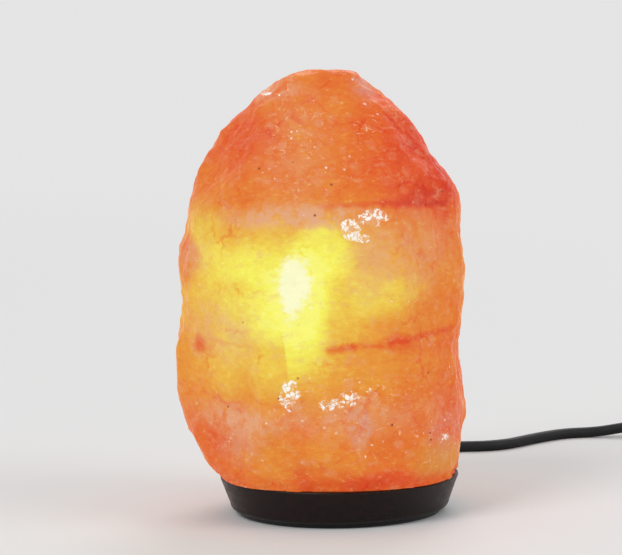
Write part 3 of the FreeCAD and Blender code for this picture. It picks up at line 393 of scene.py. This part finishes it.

# Patches on the front: middle x and z, reach x and z in mm, softness, and what they add.
# The bulb's glow through the salt, painted on the front: patches above 0 add painted light, those below 0
# are painted shade, such as the shadow in the notch at the foot.
lightPatches = {
    "wideGlow": (-24, 112, 74, 44, 0.95, 0.19),
    "glow": (-27, 118, 40, 29, 0.8, 0.14),
    "core": (-18, 119, 12, 14, 0.6, 0.13),
    "leftCore": (-32, 110, 11, 13, 0.7, 0.14),
    "rightLump": (-7, 137, 15, 12, 0.4, 0.16),
    "leftBand": (-46, 131, 24, 9, 0.6, 0.10),
    "leftEdge": (-64, 146, 8, 12, 0.7, 0.12),
    "rightPatch": (23, 113, 14, 9, 0.5, 0.08),
    "farRightPatch": (34, 117, 12, 6, 0.6, 0.05),
    "lowGlow": (-30, 82, 34, 18, 0.9, 0.11),
    "rightFade": (58, 112, 18, 60, 0.9, -0.07),
    "redShoulder": (46, 186, 24, 30, 0.9, -0.13),
    "deepRed": (40, 160, 11, 2.6, 0.6, -0.10),
    "redSpot": (55, 168, 5, 7, 0.7, -0.07),
    "leftShoulder": (-44, 190, 17, 13, 0.9, -0.05),
    "leftFlank": (-56, 168, 13, 12, 0.8, 0.04),
    "leftBump": (-75, 132, 7, 13, 0.5, -0.16),
    "leftStreak": (-68, 90, 3, 4, 0.7, -0.18),
    "farStreak": (30, 91.5, 7, 3.4, 0.7, -0.15),
    "chipShade": (54, 43, 7, 10, 0.7, -0.06),
    "redFoot": (30, 24, 24, 4.5, 0.8, -0.12),
    "footNotchShadow": (-18, 28, 5, 8, 0.7, -0.07),
    "footGlow": (-26, 36, 28, 11, 0.8, 0.06),
    "leftFoot": (-62, 42, 12, 12, 0.8, -0.08),
    "leftAmber": (-62, 76, 14, 14, 0.8, 0.05),
    "crown": (-10, 190, 22, 40, 0.9, 0.06),
}
milkPatches = {
    "beigeBand": (-18, 153, 32, 6, 0.6, 0.62),
    "leftHaze": (-54, 98, 16, 12, 0.8, 0.34),
    "leftPink": (-48, 53, 16, 8, 0.6, 0.36),
    "pinkBand": (-5, 55, 66, 7, 0.9, 0.26),
    "leftEdgePink": (-71, 133, 8, 9, 0.6, 0.34),
    "topEdge": (-30, 213, 14, 4, 0.8, 0.35),
    "rightHaze": (34, 136, 20, 16, 0.9, 0.32),
    "middleHaze": (14, 128, 8, 14, 0.8, 0.20),
    "upperCloud": (-18, 184, 14, 22, 0.9, 0.22),
}
frostPatches = {
    "bluePatch": (11, 52, 5, 8, 0.6, 0.46),
    "greyChip": (53, 41, 8, 12, 0.6, 0.20),
    "greyCorner": (-50, 39, 9, 7, 0.7, 0.22),
    "topFacet": (16, 215, 7, 5, 0.6, 0.35),
}
corePatches = {
    "flame": (-20, 122, 8, 12, 0.6, 1.0),
    "lowFlame": (-22, 107, 4, 8, 0.7, 0.4),
}
# painted highlights: where the white glints cluster
glintPatches = {
    "upper": (18.5, 152.3, 7.2, 4.0, 0.35, 1.1),
    "upperLeft": (7.4, 146.8, 4.8, 4.8, 0.35, 1.0),
    "upperLow": (13, 142.4, 4.0, 2.4, 0.4, 0.9),
    "lower": (-23, 67.5, 5.0, 7.8, 0.6, 0.9),
    "lowerMiddle": (-4, 62.5, 6.6, 3.6, 0.8, 0.62),
    "lowerRight": (6, 66, 5.0, 4.0, 0.7, 0.66),
    "lowerEdge": (16, 69, 4.0, 2.4, 0.7, 0.52),
    "chipLow": (52, 42, 4.0, 2.6, 0.7, 0.52),
    "crownLeft": (-33, 212, 4.0, 2.2, 0.7, 0.55),
}
olivePatches = {
    "corner": (50, 31, 12, 8, 0.8, 0.5),
    "leftEnd": (-66, 150, 6, 10, 0.8, 0.2),
}
# where flecks lie thickest
fleckPatches = {
    "upperMiddle": (-19, 184, 13, 24, 0.8, 1.1),
    "upperRight": (17, 196, 6, 9, 0.8, 1.0),
    "shoulder": (30, 178, 8, 8, 0.8, 0.5),
    "lowRight": (18, 66, 30, 8, 0.8, 0.9),
    "lowMiddle": (20, 45, 22, 8, 0.8, 0.8),
    "chip": (52, 42, 10, 12, 0.8, 1.0),
    "crown": (-30, 212, 14, 5, 0.8, 1.0),
    "lowLeft": (-48, 42, 14, 8, 0.8, 0.6),
    "lowBand": (-10, 58, 26, 6, 0.8, 0.8),
}
# Dense films in the salt that show as lines: from x, z to x, z in mm, half width, and depth.
saltSeams = {
    "upperSeam": (-8, 158.5, 24, 158.8, 1.0, 0.09),
    "upperSeamEnd": (24, 158.8, 54, 156.4, 1.6, 0.15),
    "streak": (-4, 88.5, 8, 90.6, 1.7, 0.17),
    "streakEnd": (8, 90.6, 21, 90.8, 1.2, 0.10),
    "farSeam": (26, 92, 56, 95, 1.4, 0.10),
    "lowSeam": (-66, 66, -46, 58, 1.1, 0.07),
    "leftSeam": (-62, 92, -40, 91, 0.9, 0.06),
}
cleanSplit = {
    "x": -28.0, "lean": 0.10, "level": 116, "right": -6.0, "rightFade": 6,
    "top": 116, "topFade": 14, "foot": 66, "footFade": 26, "gain": 0.15,
}


def patchSum(paint, place, patches):
    total = None
    for x, z, reachX, reachZ, soft, amount in patches.values():
        away = ((place - (x, 0, z)) * (1 / reachX, 0, 1 / reachZ)).length()
        mask = paint.between(away, 1 - soft, 1 + soft, amount, 0.0)
        total = mask if total is None else total + mask
    return total


def seamSum(paint, place, seams):
    # each film is darkest along its line, seen from the front
    total = None
    for startX, startZ, endX, endZ, width, depth in seams.values():
        run = Vector((endX - startX, 0, endZ - startZ))
        reach = (place - (startX, 0, startZ)) * (1, 0, 1)
        along = paint.add("ShaderNodeVectorMath", {"operation": "DOT_PRODUCT"}, {0: reach, 1: run}, "Value")
        along = paint.add("ShaderNodeClamp", {}, {0: along / run.length_squared})
        away = (reach - paint.scaled(tuple(run), along)).length()
        mask = paint.between(away, 0, width * 2, depth, 0)
        total = mask if total is None else total + mask
    return total


def saltPlaces(paint, settings):
    # places in the salt, bent by drift, bent only finely or pressed flat, and the patterns in common
    warp = paint.noise(paint.spot, 1 / settings["warpSize"], 2, 0.5, 1) - grey(0.5)
    fine = paint.noise(paint.spot, 1 / settings["fineWarpSize"], 3, 0.6, 1) - grey(0.5)
    bent = paint.spot + warp * settings["warpReach"] + fine * settings["fineWarpReach"]
    flat = paint.spot * (1, 1, settings["flatten"])
    return {
        "fine": fine, "bent": bent, "flat": flat,
        "nearly": paint.spot + fine * settings["fineWarpReach"],
        "front": paint.between(paint.parted(bent)[1], -settings["turn"], settings["turn"], 1.0, 0.0),
        "grit": paint.noise(flat, 1 / settings["gritSize"], 3, 0.7),
        "mottle": paint.noise(flat, 1 / settings["mottleSize"], 3, 0.6) - 0.5,
        "lumps": paint.cells(paint.spot, 1 / settings["lumpSize"], "SMOOTH_F1") - 0.45,
    }


def splitLight(paint, settings, fine):
    # painted light: the bright strip beside a clean split, sharp on its left
    x, y, z = paint.parted(paint.spot + fine * 1.2)
    right, top, foot = settings["right"], settings["top"], settings["foot"]
    edge = x - (settings["level"] - z) * settings["lean"] - settings["x"]
    strip = paint.between(edge, -0.5, 0.8)
    strip = strip * paint.between(x, right - settings["rightFade"], right + settings["rightFade"], 1, 0)
    strip = strip * paint.between(z, foot, foot + settings["footFade"])
    return strip * paint.between(z, top, top + settings["topFade"], 1, 0) * settings["gain"]


def paintedSaltGlow(paint, settings, at):
    # painted glow: how much of the bulb's light comes through, from 0 to 1
    low, high = settings["layers"][0][0], settings["layers"][-1][0]
    stops = [((level - low) / (high - low), grey(share)) for level, share in settings["layers"]]
    height = (paint.parted(at["bent"])[2] - low) / (high - low)
    heat = paint.parted(paint.ramp(height, stops))[0]
    seams = seamSum(paint, at["nearly"], saltSeams) * (at["grit"] * 1.2 + 0.4)
    onFront = patchSum(paint, at["bent"], lightPatches) - seams + splitLight(paint, cleanSplit, at["fine"])
    # round the sides and back the light fades with the distance from the bulb
    away = ((at["bent"] - settings["glowCentre"]) / settings["glowReach"]).length()
    behind = paint.between(away, 0.35, 1.15, settings["glowBehind"], 0.0)
    heat = heat + onFront * at["front"] + behind * (1 - at["front"])
    clouds = paint.noise(at["flat"], 1 / settings["cloudSize"], 4, 0.6) - 0.5
    heat = heat + clouds * settings["cloudDepth"] + at["mottle"] * settings["mottleDepth"]
    # painted shade from the relief: darker towards the lumps' edges, lighter on their crowns
    heat = heat - at["lumps"] * settings["lumpDepth"] + (at["grit"] - 0.5) * settings["gritDepth"]
    # painted shade along the creases between lumps, seen here and there as darker lines
    creases = paint.cells(at["bent"] + at["fine"] * 4, 1 / settings["lumpSize"], "DISTANCE_TO_EDGE")
    shown = paint.between(paint.noise(paint.spot, 1 / settings["creaseGap"], 2), 0.5, 0.66)
    return heat - paint.between(creases, 0.0, 0.06, settings["creaseDepth"], 0) * shown


def saltZones(paint, settings, at, colour):
    # milky, frosty and olive zones, dark grains, and the near-white core in front of the bulb, which is
    # painted glow
    bent, front = at["bent"], at["front"]
    broken = paint.between(paint.noise(paint.spot, 1 / 7, 4, 0.7), 0.38, 0.56) + 0.3
    veins = paint.between(paint.noise(at["flat"] + (0, 0, 300), 1 / 8, 5, 0.7), 0.54, 0.66)
    milk = patchSum(paint, bent, milkPatches) * front * broken + veins * 0.25
    colour = paint.mix(colour, settings["milkColour"], milk * (at["grit"] * 0.8 + 0.6))
    frost = patchSum(paint, bent, frostPatches) * front * broken
    colour = paint.mix(colour, settings["frostColour"], frost)
    colour = paint.mix(colour, settings["oliveColour"], patchSum(paint, bent, olivePatches) * front)
    specks = paint.spots(paint.spot, 1 / settings["speckGap"], 0.2, 0.1)
    colour = paint.mix(colour, settings["speckColour"], specks * 0.8)
    core = patchSum(paint, at["nearly"], corePatches) * front + at["mottle"] * 1.4
    return paint.mix(colour, settings["coreColour"], paint.between(core, 0.15, 0.9))


def fractures(paint, place, chance, size, gap, width, share):
    # short stretches of the lines between cells
    line = paint.between(paint.cells(place, 1 / size, "DISTANCE_TO_EDGE"), 0.0, width, 1, 0)
    return line * paint.between(paint.noise(chance, 1 / gap, 2), share, share + 0.08)


def saltFlecks(paint, settings, at, colour):
    # short curved fractures, pale blotches and sparks, thickest in patches; the sparks are painted glints
    wavy = paint.spot + at["fine"] * 3
    scattered = paint.between(paint.noise(paint.spot, 1 / 13, 2, 0.6), 0.52, 0.68)
    thick = patchSum(paint, at["bent"], fleckPatches) * at["front"] + scattered * 0.7
    large = fractures(paint, wavy, paint.spot, *settings["largeFracture"])
    small = fractures(paint, wavy, paint.spot + (0, 90, 0), *settings["smallFracture"])
    blotches = paint.spots(wavy, 1 / settings["blotchGap"], 0.4, 0.6) * (thick * 0.2 + 0.04)
    colour = paint.mix(colour, settings["milkColour"], blotches)
    colour = paint.mix(colour, settings["flakeColour"], (large + small * 0.7) * (thick * 0.55 + 0.03))
    # painted highlights: tiny white sparks
    sparks = paint.spots(wavy + (40, 0, 0), 1 / settings["sparkGap"], 0.10, 0.30)
    return paint.mix(colour, settings["glintColour"], sparks * thick * 0.6)


def saltGlints(paint, settings, at, colour):
    # painted highlights: clusters of white glints on broken faces, each facet lit or not
    facets = paint.cells(at["nearly"], 1 / settings["facetSize"])
    lit = paint.parted(Wire(paint, facets.socket.node.outputs["Color"]))[1]
    edges = paint.cells(at["nearly"], 1 / settings["facetSize"], "DISTANCE_TO_EDGE")
    shine = paint.between(lit, 0.16, 0.42, 0.12, 1) * paint.between(edges, 0.0, 0.12, 0.2, 1)
    shards = paint.noise(paint.spot, 1 / settings["shardSize"], 3, 0.65) - 0.5
    glints = patchSum(paint, at["nearly"], glintPatches) * (shards * 3 + lit * 0.6 + 0.7)
    glints = paint.between(glints, 0.40, 0.74) * shine * at["front"]
    return paint.mix(colour, settings["glintColour"], glints)


def makeSalt(settings):
    paint = Paint("rockSalt", {
        "IOR": 1.32, "Specular IOR Level": settings["specular"],
        "Emission Strength": settings["glowStrength"],
    })
    at = saltPlaces(paint, settings)
    colour = paint.ramp(paintedSaltGlow(paint, settings, at), settings["colours"])
    for layer in (saltZones, saltFlecks, saltGlints):
        colour = layer(paint, settings, at, colour)
    height = paint.cells(at["nearly"], 1 / settings["scoopSize"]) * 0.5 + at["grit"] * 0.35
    height = height + at["mottle"] * 0.8 - at["lumps"]
    rough = paint.between(paint.noise(paint.spot, 1 / 6, 3), 0.35, 0.65, 0.22, 0.5)
    return paint.surface({
        "Base Color": paint.scaled(colour, settings["baseShare"]),
        # the bulb's light through the salt, painted as a glow
        "Emission Color": colour,
        "Roughness": rough,
        "Normal": paint.bump(height, 0.5, settings["bumpDepth"]),
    })


crystal = {
    "voxel": 0.0013,
    "sizes": {
        "Lump Size": 0.019, "Lump Depth": 0.0034, "Scoop Size": 0.009, "Scoop Depth": 0.0015,
        "Chip Size": 0.0042, "Chip Depth": 0.0008, "Swell Size": 0.032, "Swell Depth": 0.003,
        "Foot Level": 0.0192, "Foot Reach": 0.006, "Foot Chip": 0.0052,
    },
}


def copyOf(node, name):
    # a merged copy of a node's loose triangles
    piece = bpy.data.objects.new(name, frame["nodes"][node].data.copy())
    bpy.context.collection.objects.link(piece)
    work = bmesh.new()
    work.from_mesh(piece.data)
    bmesh.ops.remove_doubles(work, verts=work.verts, dist=1e-6)
    work.to_mesh(piece.data)
    work.free()
    return piece


def makeCrystal(settings, material):
    # the hewn block: broad swells, shallow scoops where chips came off, and a grainy skin
    form = Form("hewnSurface", settings["sizes"])
    place = form.add("GeometryNodeInputPosition")
    normal = form.add("GeometryNodeInputNormal")
    lumps = form.cells(place, 1 / form.size("Lump Size"), "SMOOTH_F1")
    scoops = form.cells(place, 1 / form.size("Scoop Size"))
    chips = form.cells(place, 1 / form.size("Chip Size"))
    swell = form.noise(place, 1 / form.size("Swell Size"), 2)
    depth = (lumps - 0.33) * form.size("Lump Depth") + (0.45 - scoops) * form.size("Scoop Depth")
    depth = depth + (0.45 - chips) * form.size("Chip Depth") + (swell - 0.5) * form.size("Swell Depth")
    # the lower edge is chipped where it was sawn flat, and the sawn face stays flat
    z = form.parted(place)[2]
    foot = form.size("Foot Level")
    bitten = form.between(form.noise(place, 1.3 / form.size("Foot Reach"), 3), 0.46, 0.62)
    nearFoot = form.between(z, foot, foot + form.size("Foot Reach"), 1, 0)
    depth = depth + nearFoot * bitten * form.size("Foot Chip")
    depth = depth * form.between(form.parted(normal)[2], -0.95, -0.7)
    moved = form.add("GeometryNodeSetPosition", {}, {
        "Geometry": Wire(form, form.inlet.outputs[0]), "Offset": normal * (depth * -1),
    })
    low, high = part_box("salt_crystal")
    held = place.sum("MINIMUM", place.sum("MAXIMUM", place, tuple(low)), tuple(high))
    moved = form.add("GeometryNodeSetPosition", {}, {"Geometry": moved, "Position": held})
    smooth = form.add("GeometryNodeSetShadeSmooth", {}, {"Geometry": moved, "Shade Smooth": True})
    form.finish(smooth, material)
    piece = copyOf("salt_crystal", "crystal")
    remesh = piece.modifiers.new("voxels", "REMESH")
    remesh.mode, remesh.voxel_size, remesh.adaptivity = "VOXEL", settings["voxel"], 0
    form.put(piece)
    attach(piece, "crystal_stand")
    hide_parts("salt_crystal")
    return piece


crystalPiece = makeCrystal(crystal, makeSalt(salt))
print("crystal made:", len(crystalPiece.data.polygons), "faces")


# finishes of the pieces that keep their solids' shape

def makeWood(settings):
    # dark stained disc: faint growth rings across it, fine pores, a satin skin
    paint = Paint("stainedWood", {
        "IOR": 1.5, "Specular IOR Level": 0.2, "Coat Roughness": 0.3, "Coat Weight": 0.04,
    })
    drift = paint.noise(paint.spot, 1 / 30, 2, 0.5, 1) * 9
    ringed = (paint.spot + drift) * (1 / settings["ringSize"], 1 / 55, 1 / settings["ringSize"])
    rings = paint.noise(ringed, 1.0, 3, 0.6)
    pores = paint.between(paint.noise(paint.spot * (1.6, 0.12, 1.6), 1.0, 2), 0.58, 0.7)
    shades = [(0.25, settings["dark"]), (0.5, settings["middle"]), (0.75, settings["pale"])]
    colour = paint.ramp(rings, shades)
    colour = paint.mix(colour, settings["pore"], pores * 0.7)
    height = rings * 0.3 - pores * 0.5 + paint.noise(paint.spot, 1 / 2.5, 2) * 0.4
    return paint.surface({
        "Base Color": colour,
        "Roughness": paint.between(rings, 0.3, 0.7, 0.34, 0.46),
        "Normal": paint.bump(height, 0.22, 0.0004),
    })


def makeMetal(name, settings):
    # worn sheet or turned metal: a brushed grain, cloudy tarnish and small dents
    paint = Paint(name, {})
    cloud = paint.noise(paint.spot, 1 / settings["cloud"], 4, 0.6)
    grain = paint.noise(paint.spot * settings["brush"], 1.0, 2)
    colour = paint.ramp(cloud, [(0.3, settings["dull"]), (0.7, settings["bright"])])
    height = grain * 0.5 + cloud * 0.5
    return paint.surface({
        "Base Color": colour,
        "Metallic": paint.between(cloud, 0.15, 0.3, 0.85, 1.0),
        "Roughness": paint.between(grain, 0.3, 0.7, settings["smooth"], settings["rough"]),
        "Normal": paint.bump(height, 0.12, 0.0001),
    })


def makePlastic(name, settings):
    # moulded plastic: spark-eroded grain, faint flow clouds
    paint = Paint(name, {"IOR": 1.49})
    cloud = paint.noise(paint.spot, 1 / settings["cloud"], 3, 0.6)
    grain = paint.cells(paint.spot, 1 / settings["grain"], "SMOOTH_F1")
    colour = paint.ramp(cloud, [(0.3, settings["dark"]), (0.7, settings["pale"])])
    return paint.surface({
        "Base Color": colour,
        "Roughness": paint.between(cloud, 0.3, 0.7, settings["smooth"], settings["rough"]),
        "Normal": paint.bump(grain, settings["relief"], 0.0001),
    })


def makeFelt(settings):
    paint = Paint("pressedFelt", {"Sheen Weight": 0.4, "Sheen Roughness": 0.5})
    fibres = paint.noise(paint.spot * (1, 1, 3), 1 / settings["fibre"], 5, 0.75)
    lint = paint.between(paint.noise(paint.spot, 1 / 0.7, 3), 0.62, 0.75)
    colour = paint.ramp(fibres, [(0.3, settings["dark"]), (0.7, settings["pale"])])
    colour = paint.mix(colour, settings["lint"], lint * 0.3)
    return paint.surface({
        "Base Color": colour, "Roughness": paint.between(fibres, 0, 1, 0.85, 1.0),
        "Normal": paint.bump(fibres, 0.6, 0.0006),
    })


def makeCordSkin(settings):
    # matte flexible PVC: fine drag marks, a little dust
    paint = Paint("cordSkin", {"IOR": 1.5, "Specular IOR Level": 0.35})
    drag = paint.noise(paint.spot, 1 / 1.1, 3)
    dust = paint.between(paint.noise(paint.spot, 1 / 22, 4, 0.7), 0.45, 0.7)
    colour = paint.mix(settings["dark"], settings["dusty"], dust)
    return paint.surface({
        "Base Color": colour,
        "Roughness": paint.between(drag, 0.3, 0.7, 0.5, 0.62),
        "Normal": paint.bump(drag, 0.15, 0.0002),
    })


def makeInsulation(settings):
    # brown live wires on the left of each fitting, blue ones on the right
    paint = Paint("wireSkin", {"IOR": 1.5})
    x, y, z = paint.parted(paint.spot)
    atLamp = paint.between(x, -0.2, 0.2) * paint.between(x, 99, 101, 1, 0)
    atSwitch = paint.between(y, settings["split"] - 0.2, settings["split"] + 0.2) * paint.between(x, 99, 101)
    cloud = paint.noise(paint.spot, 1 / 4, 3)
    colour = paint.mix(settings["brown"], settings["blue"], paint.between(atLamp + atSwitch, 0, 1))
    colour = paint.mix(colour, settings["scuff"], paint.between(cloud, 0.5, 0.8, 0, 0.2))
    return paint.surface({
        "Base Color": colour,
        "Roughness": paint.between(cloud, 0.3, 0.7, 0.35, 0.5),
        "Normal": paint.bump(cloud, 0.1, 0.0001),
    })


def makeFilament(settings):
    # glowing wire, hotter and cooler along its length
    paint = Paint("hotTungsten", {"Roughness": 0.5, "Emission Strength": settings["strength"]})
    warm = paint.noise(paint.spot, 1 / 1.5, 2)
    colour = paint.ramp(warm, [(0.3, settings["warm"]), (0.7, settings["white"])])
    return paint.surface({"Base Color": colour, "Emission Color": colour})


def makeGlass(settings):
    # thin blown glass with slight ripples and a breath of dust
    paint = Paint("blownGlass", {
        "Transmission Weight": 1.0, "IOR": 1.5,
    })
    ripple = paint.noise(paint.spot * (1, 1, 0.3), 1 / 6, 2)
    haze = paint.between(paint.noise(paint.spot, 1 / 14, 3), 0.4, 0.7)
    return paint.surface({
        "Base Color": paint.mix(settings["clear"], settings["hazy"], haze),
        "Roughness": paint.between(haze, 0, 1, 0.0, 0.06),
        "Normal": paint.bump(ripple, 0.06, 0.0004),
    })


finishes = {
    "dark_wood": makeWood({
        "ringSize": 3.2, "dark": seen(13, 6, 5), "middle": seen(22, 10, 8),
        "pale": seen(33, 16, 12), "pore": seen(6, 3, 3),
    }),
    "felt": makeFelt({
        "fibre": 1.3, "dark": seen(20, 20, 21), "pale": seen(48, 48, 50), "lint": seen(110, 108, 104),
    }),
    "steel": makeMetal("zincedSteel", {
        "cloud": 5, "brush": (2, 2, 0.4), "dull": seen(150, 152, 154), "bright": seen(205, 206, 207),
        "smooth": 0.28, "rough": 0.45,
    }),
    "brass": makeMetal("sheetBrass", {
        "cloud": 6, "brush": (0.4, 2, 2), "dull": seen(176, 138, 72), "bright": seen(222, 188, 112),
        "smooth": 0.22, "rough": 0.4,
    }),
    "plated_brass": makeMetal("nickelPlate", {
        "cloud": 8, "brush": (2, 0.3, 2), "dull": seen(176, 172, 162), "bright": seen(220, 216, 208),
        "smooth": 0.14, "rough": 0.3,
    }),
    "aluminium": makeMetal("pressedAluminium", {
        "cloud": 7, "brush": (2, 2, 0.3), "dull": seen(168, 170, 172), "bright": seen(214, 215, 217),
        "smooth": 0.25, "rough": 0.4,
    }),
    "solder": makeMetal("dullSolder", {
        "cloud": 2, "brush": (1, 1, 1), "dull": seen(134, 134, 138), "bright": seen(186, 186, 190),
        "smooth": 0.35, "rough": 0.55,
    }),
    "black_plastic": makePlastic("mattePlastic", {
        "cloud": 30, "grain": 0.35, "dark": seen(24, 24, 25), "pale": seen(32, 32, 34),
        "smooth": 0.42, "rough": 0.55, "relief": 0.35,
    }),
    "rocker_plastic": makePlastic("glossPlastic", {
        "cloud": 18, "grain": 0.9, "dark": seen(22, 22, 23), "pale": seen(28, 28, 30),
        "smooth": 0.14, "rough": 0.22, "relief": 0.05,
    }),
    "ceramic": makePlastic("steatite", {
        "cloud": 9, "grain": 0.5, "dark": seen(214, 208, 194), "pale": seen(232, 228, 218),
        "smooth": 0.45, "rough": 0.65, "relief": 0.3,
    }),
    "vitrite": makePlastic("darkVitrite", {
        "cloud": 3, "grain": 1.2, "dark": seen(30, 22, 36), "pale": seen(52, 40, 58),
        "smooth": 0.08, "rough": 0.2, "relief": 0.1,
    }),
    "cord": makeCordSkin({"dark": seen(11, 11, 12), "dusty": seen(24, 24, 26)}),
    "wire_insulation": makeInsulation({
        "split": 220, "brown": seen(104, 62, 38), "blue": seen(52, 92, 168), "scuff": seen(170, 170, 170),
    }),
    "filament": makeFilament({"strength": 6, "warm": seen(255, 190, 110), "white": seen(255, 226, 180)}),
    "bulb_glass": makeGlass({"clear": grey(0.98), "hazy": grey(0.90)}),
}


def dress(node, material):
    held = frame["nodes"][node].material_slots
    for slot in held:
        slot.material = material
    if not held:
        frame["nodes"][node].data.materials.append(material)


for part in frame["record"]["subparts"]:
    if part["material_slot"] in finishes:
        dress(part["node"], finishes[part["material_slot"]])
for cord in (lampCord, plugCord):
    cord.data.materials.append(finishes["cord"])
print("finishes made:", len(finishes))


# floor, background and lamps

studio = {
    "floorReach": 40, "floorSides": 96, "floorShade": 0.80, "paleFrom": 1.1, "paleTo": 3.0,
    "backShade": 0.78, "worldShade": 0.86, "worldStrength": 0.55,
    "lamps": {
        # place, target, size, power
        "key": ((-3.2, -3.8, 4.3), (0, 0, 0.1), 3.2, 150),
        "fill": ((4.2, -2.2, 3.2), (0, 0, 0.1), 3.4, 68),
        "rear": ((1.0, 4.4, 4.0), (0, 0, 0.1), 3.4, 86),
    },
}


def pathShare(paint):
    # 1 for what the camera, a mirror or glass sees straight, 0 for what lights the object
    seenBy = [paint.add("ShaderNodeLightPath", {}, {}, kind) for kind in
              ("Is Camera Ray", "Is Glossy Ray", "Is Transmission Ray")]
    return paint.between(seenBy[0] + seenBy[1] + seenBy[2], 0, 1)


def makeFloor(settings):
    # lit near the lamp, where it takes the shadow, and the background's shade farther off
    work = bmesh.new()
    bmesh.ops.create_circle(
        work, cap_ends=True, segments=settings["floorSides"], radius=settings["floorReach"],
    )
    mesh = bpy.data.meshes.new("floor")
    work.to_mesh(mesh)
    work.free()
    floor = bpy.data.objects.new("floor", mesh)
    bpy.context.collection.objects.link(floor)
    paint = Paint("paleFloor", {"Base Color": (*grey(settings["floorShade"]), 1), "Roughness": 0.9})
    away = (paint.spot * 0.001).length()
    far = paint.between(away, settings["paleFrom"], settings["paleTo"]) * pathShare(paint)
    glow = paint.add("ShaderNodeEmission", {}, {"Color": (*grey(settings["backShade"]), 1), "Strength": 1.0})
    blend = paint.add("ShaderNodeMixShader", {}, {0: far, 1: Wire(paint, paint.shader.outputs[0]), 2: glow})
    output = next(node for node in paint.tree.nodes if node.type == "OUTPUT_MATERIAL")
    paint.feed(output.inputs[0], blend)
    mesh.materials.append(paint.material)


def makeWorld(settings):
    world = bpy.data.worlds.new("studio")
    world.use_nodes = True
    tree = Tree(world.node_tree)
    world.node_tree.nodes.clear()
    share = pathShare(tree)
    soft = tree.add("ShaderNodeBackground", {}, {
        0: (*grey(settings["worldShade"]), 1), 1: settings["worldStrength"],
    })
    back = tree.add("ShaderNodeBackground", {}, {0: (*grey(settings["backShade"]), 1), 1: 1.0})
    mixed = tree.add("ShaderNodeMixShader", {}, {0: share, 1: soft, 2: back})
    output = world.node_tree.nodes.new("ShaderNodeOutputWorld")
    tree.feed(output.inputs[0], mixed)
    bpy.context.scene.world = world


def makeLamps(settings):
    for name, (place, target, size, power) in settings["lamps"].items():
        data = bpy.data.lights.new(name, "AREA")
        data.shape, data.size, data.energy = "DISK", size, power
        lamp = bpy.data.objects.new(name, data)
        bpy.context.collection.objects.link(lamp)
        lamp.location = place
        turn = (Vector(target) - Vector(place)).to_track_quat("-Z", "Y")
        lamp.rotation_mode = "QUATERNION"
        lamp.rotation_quaternion = turn


makeFloor(studio)
makeWorld(studio)
makeLamps(studio)
bpy.context.scene.view_settings.view_transform = "Standard"
print("floor, world and lamps made")
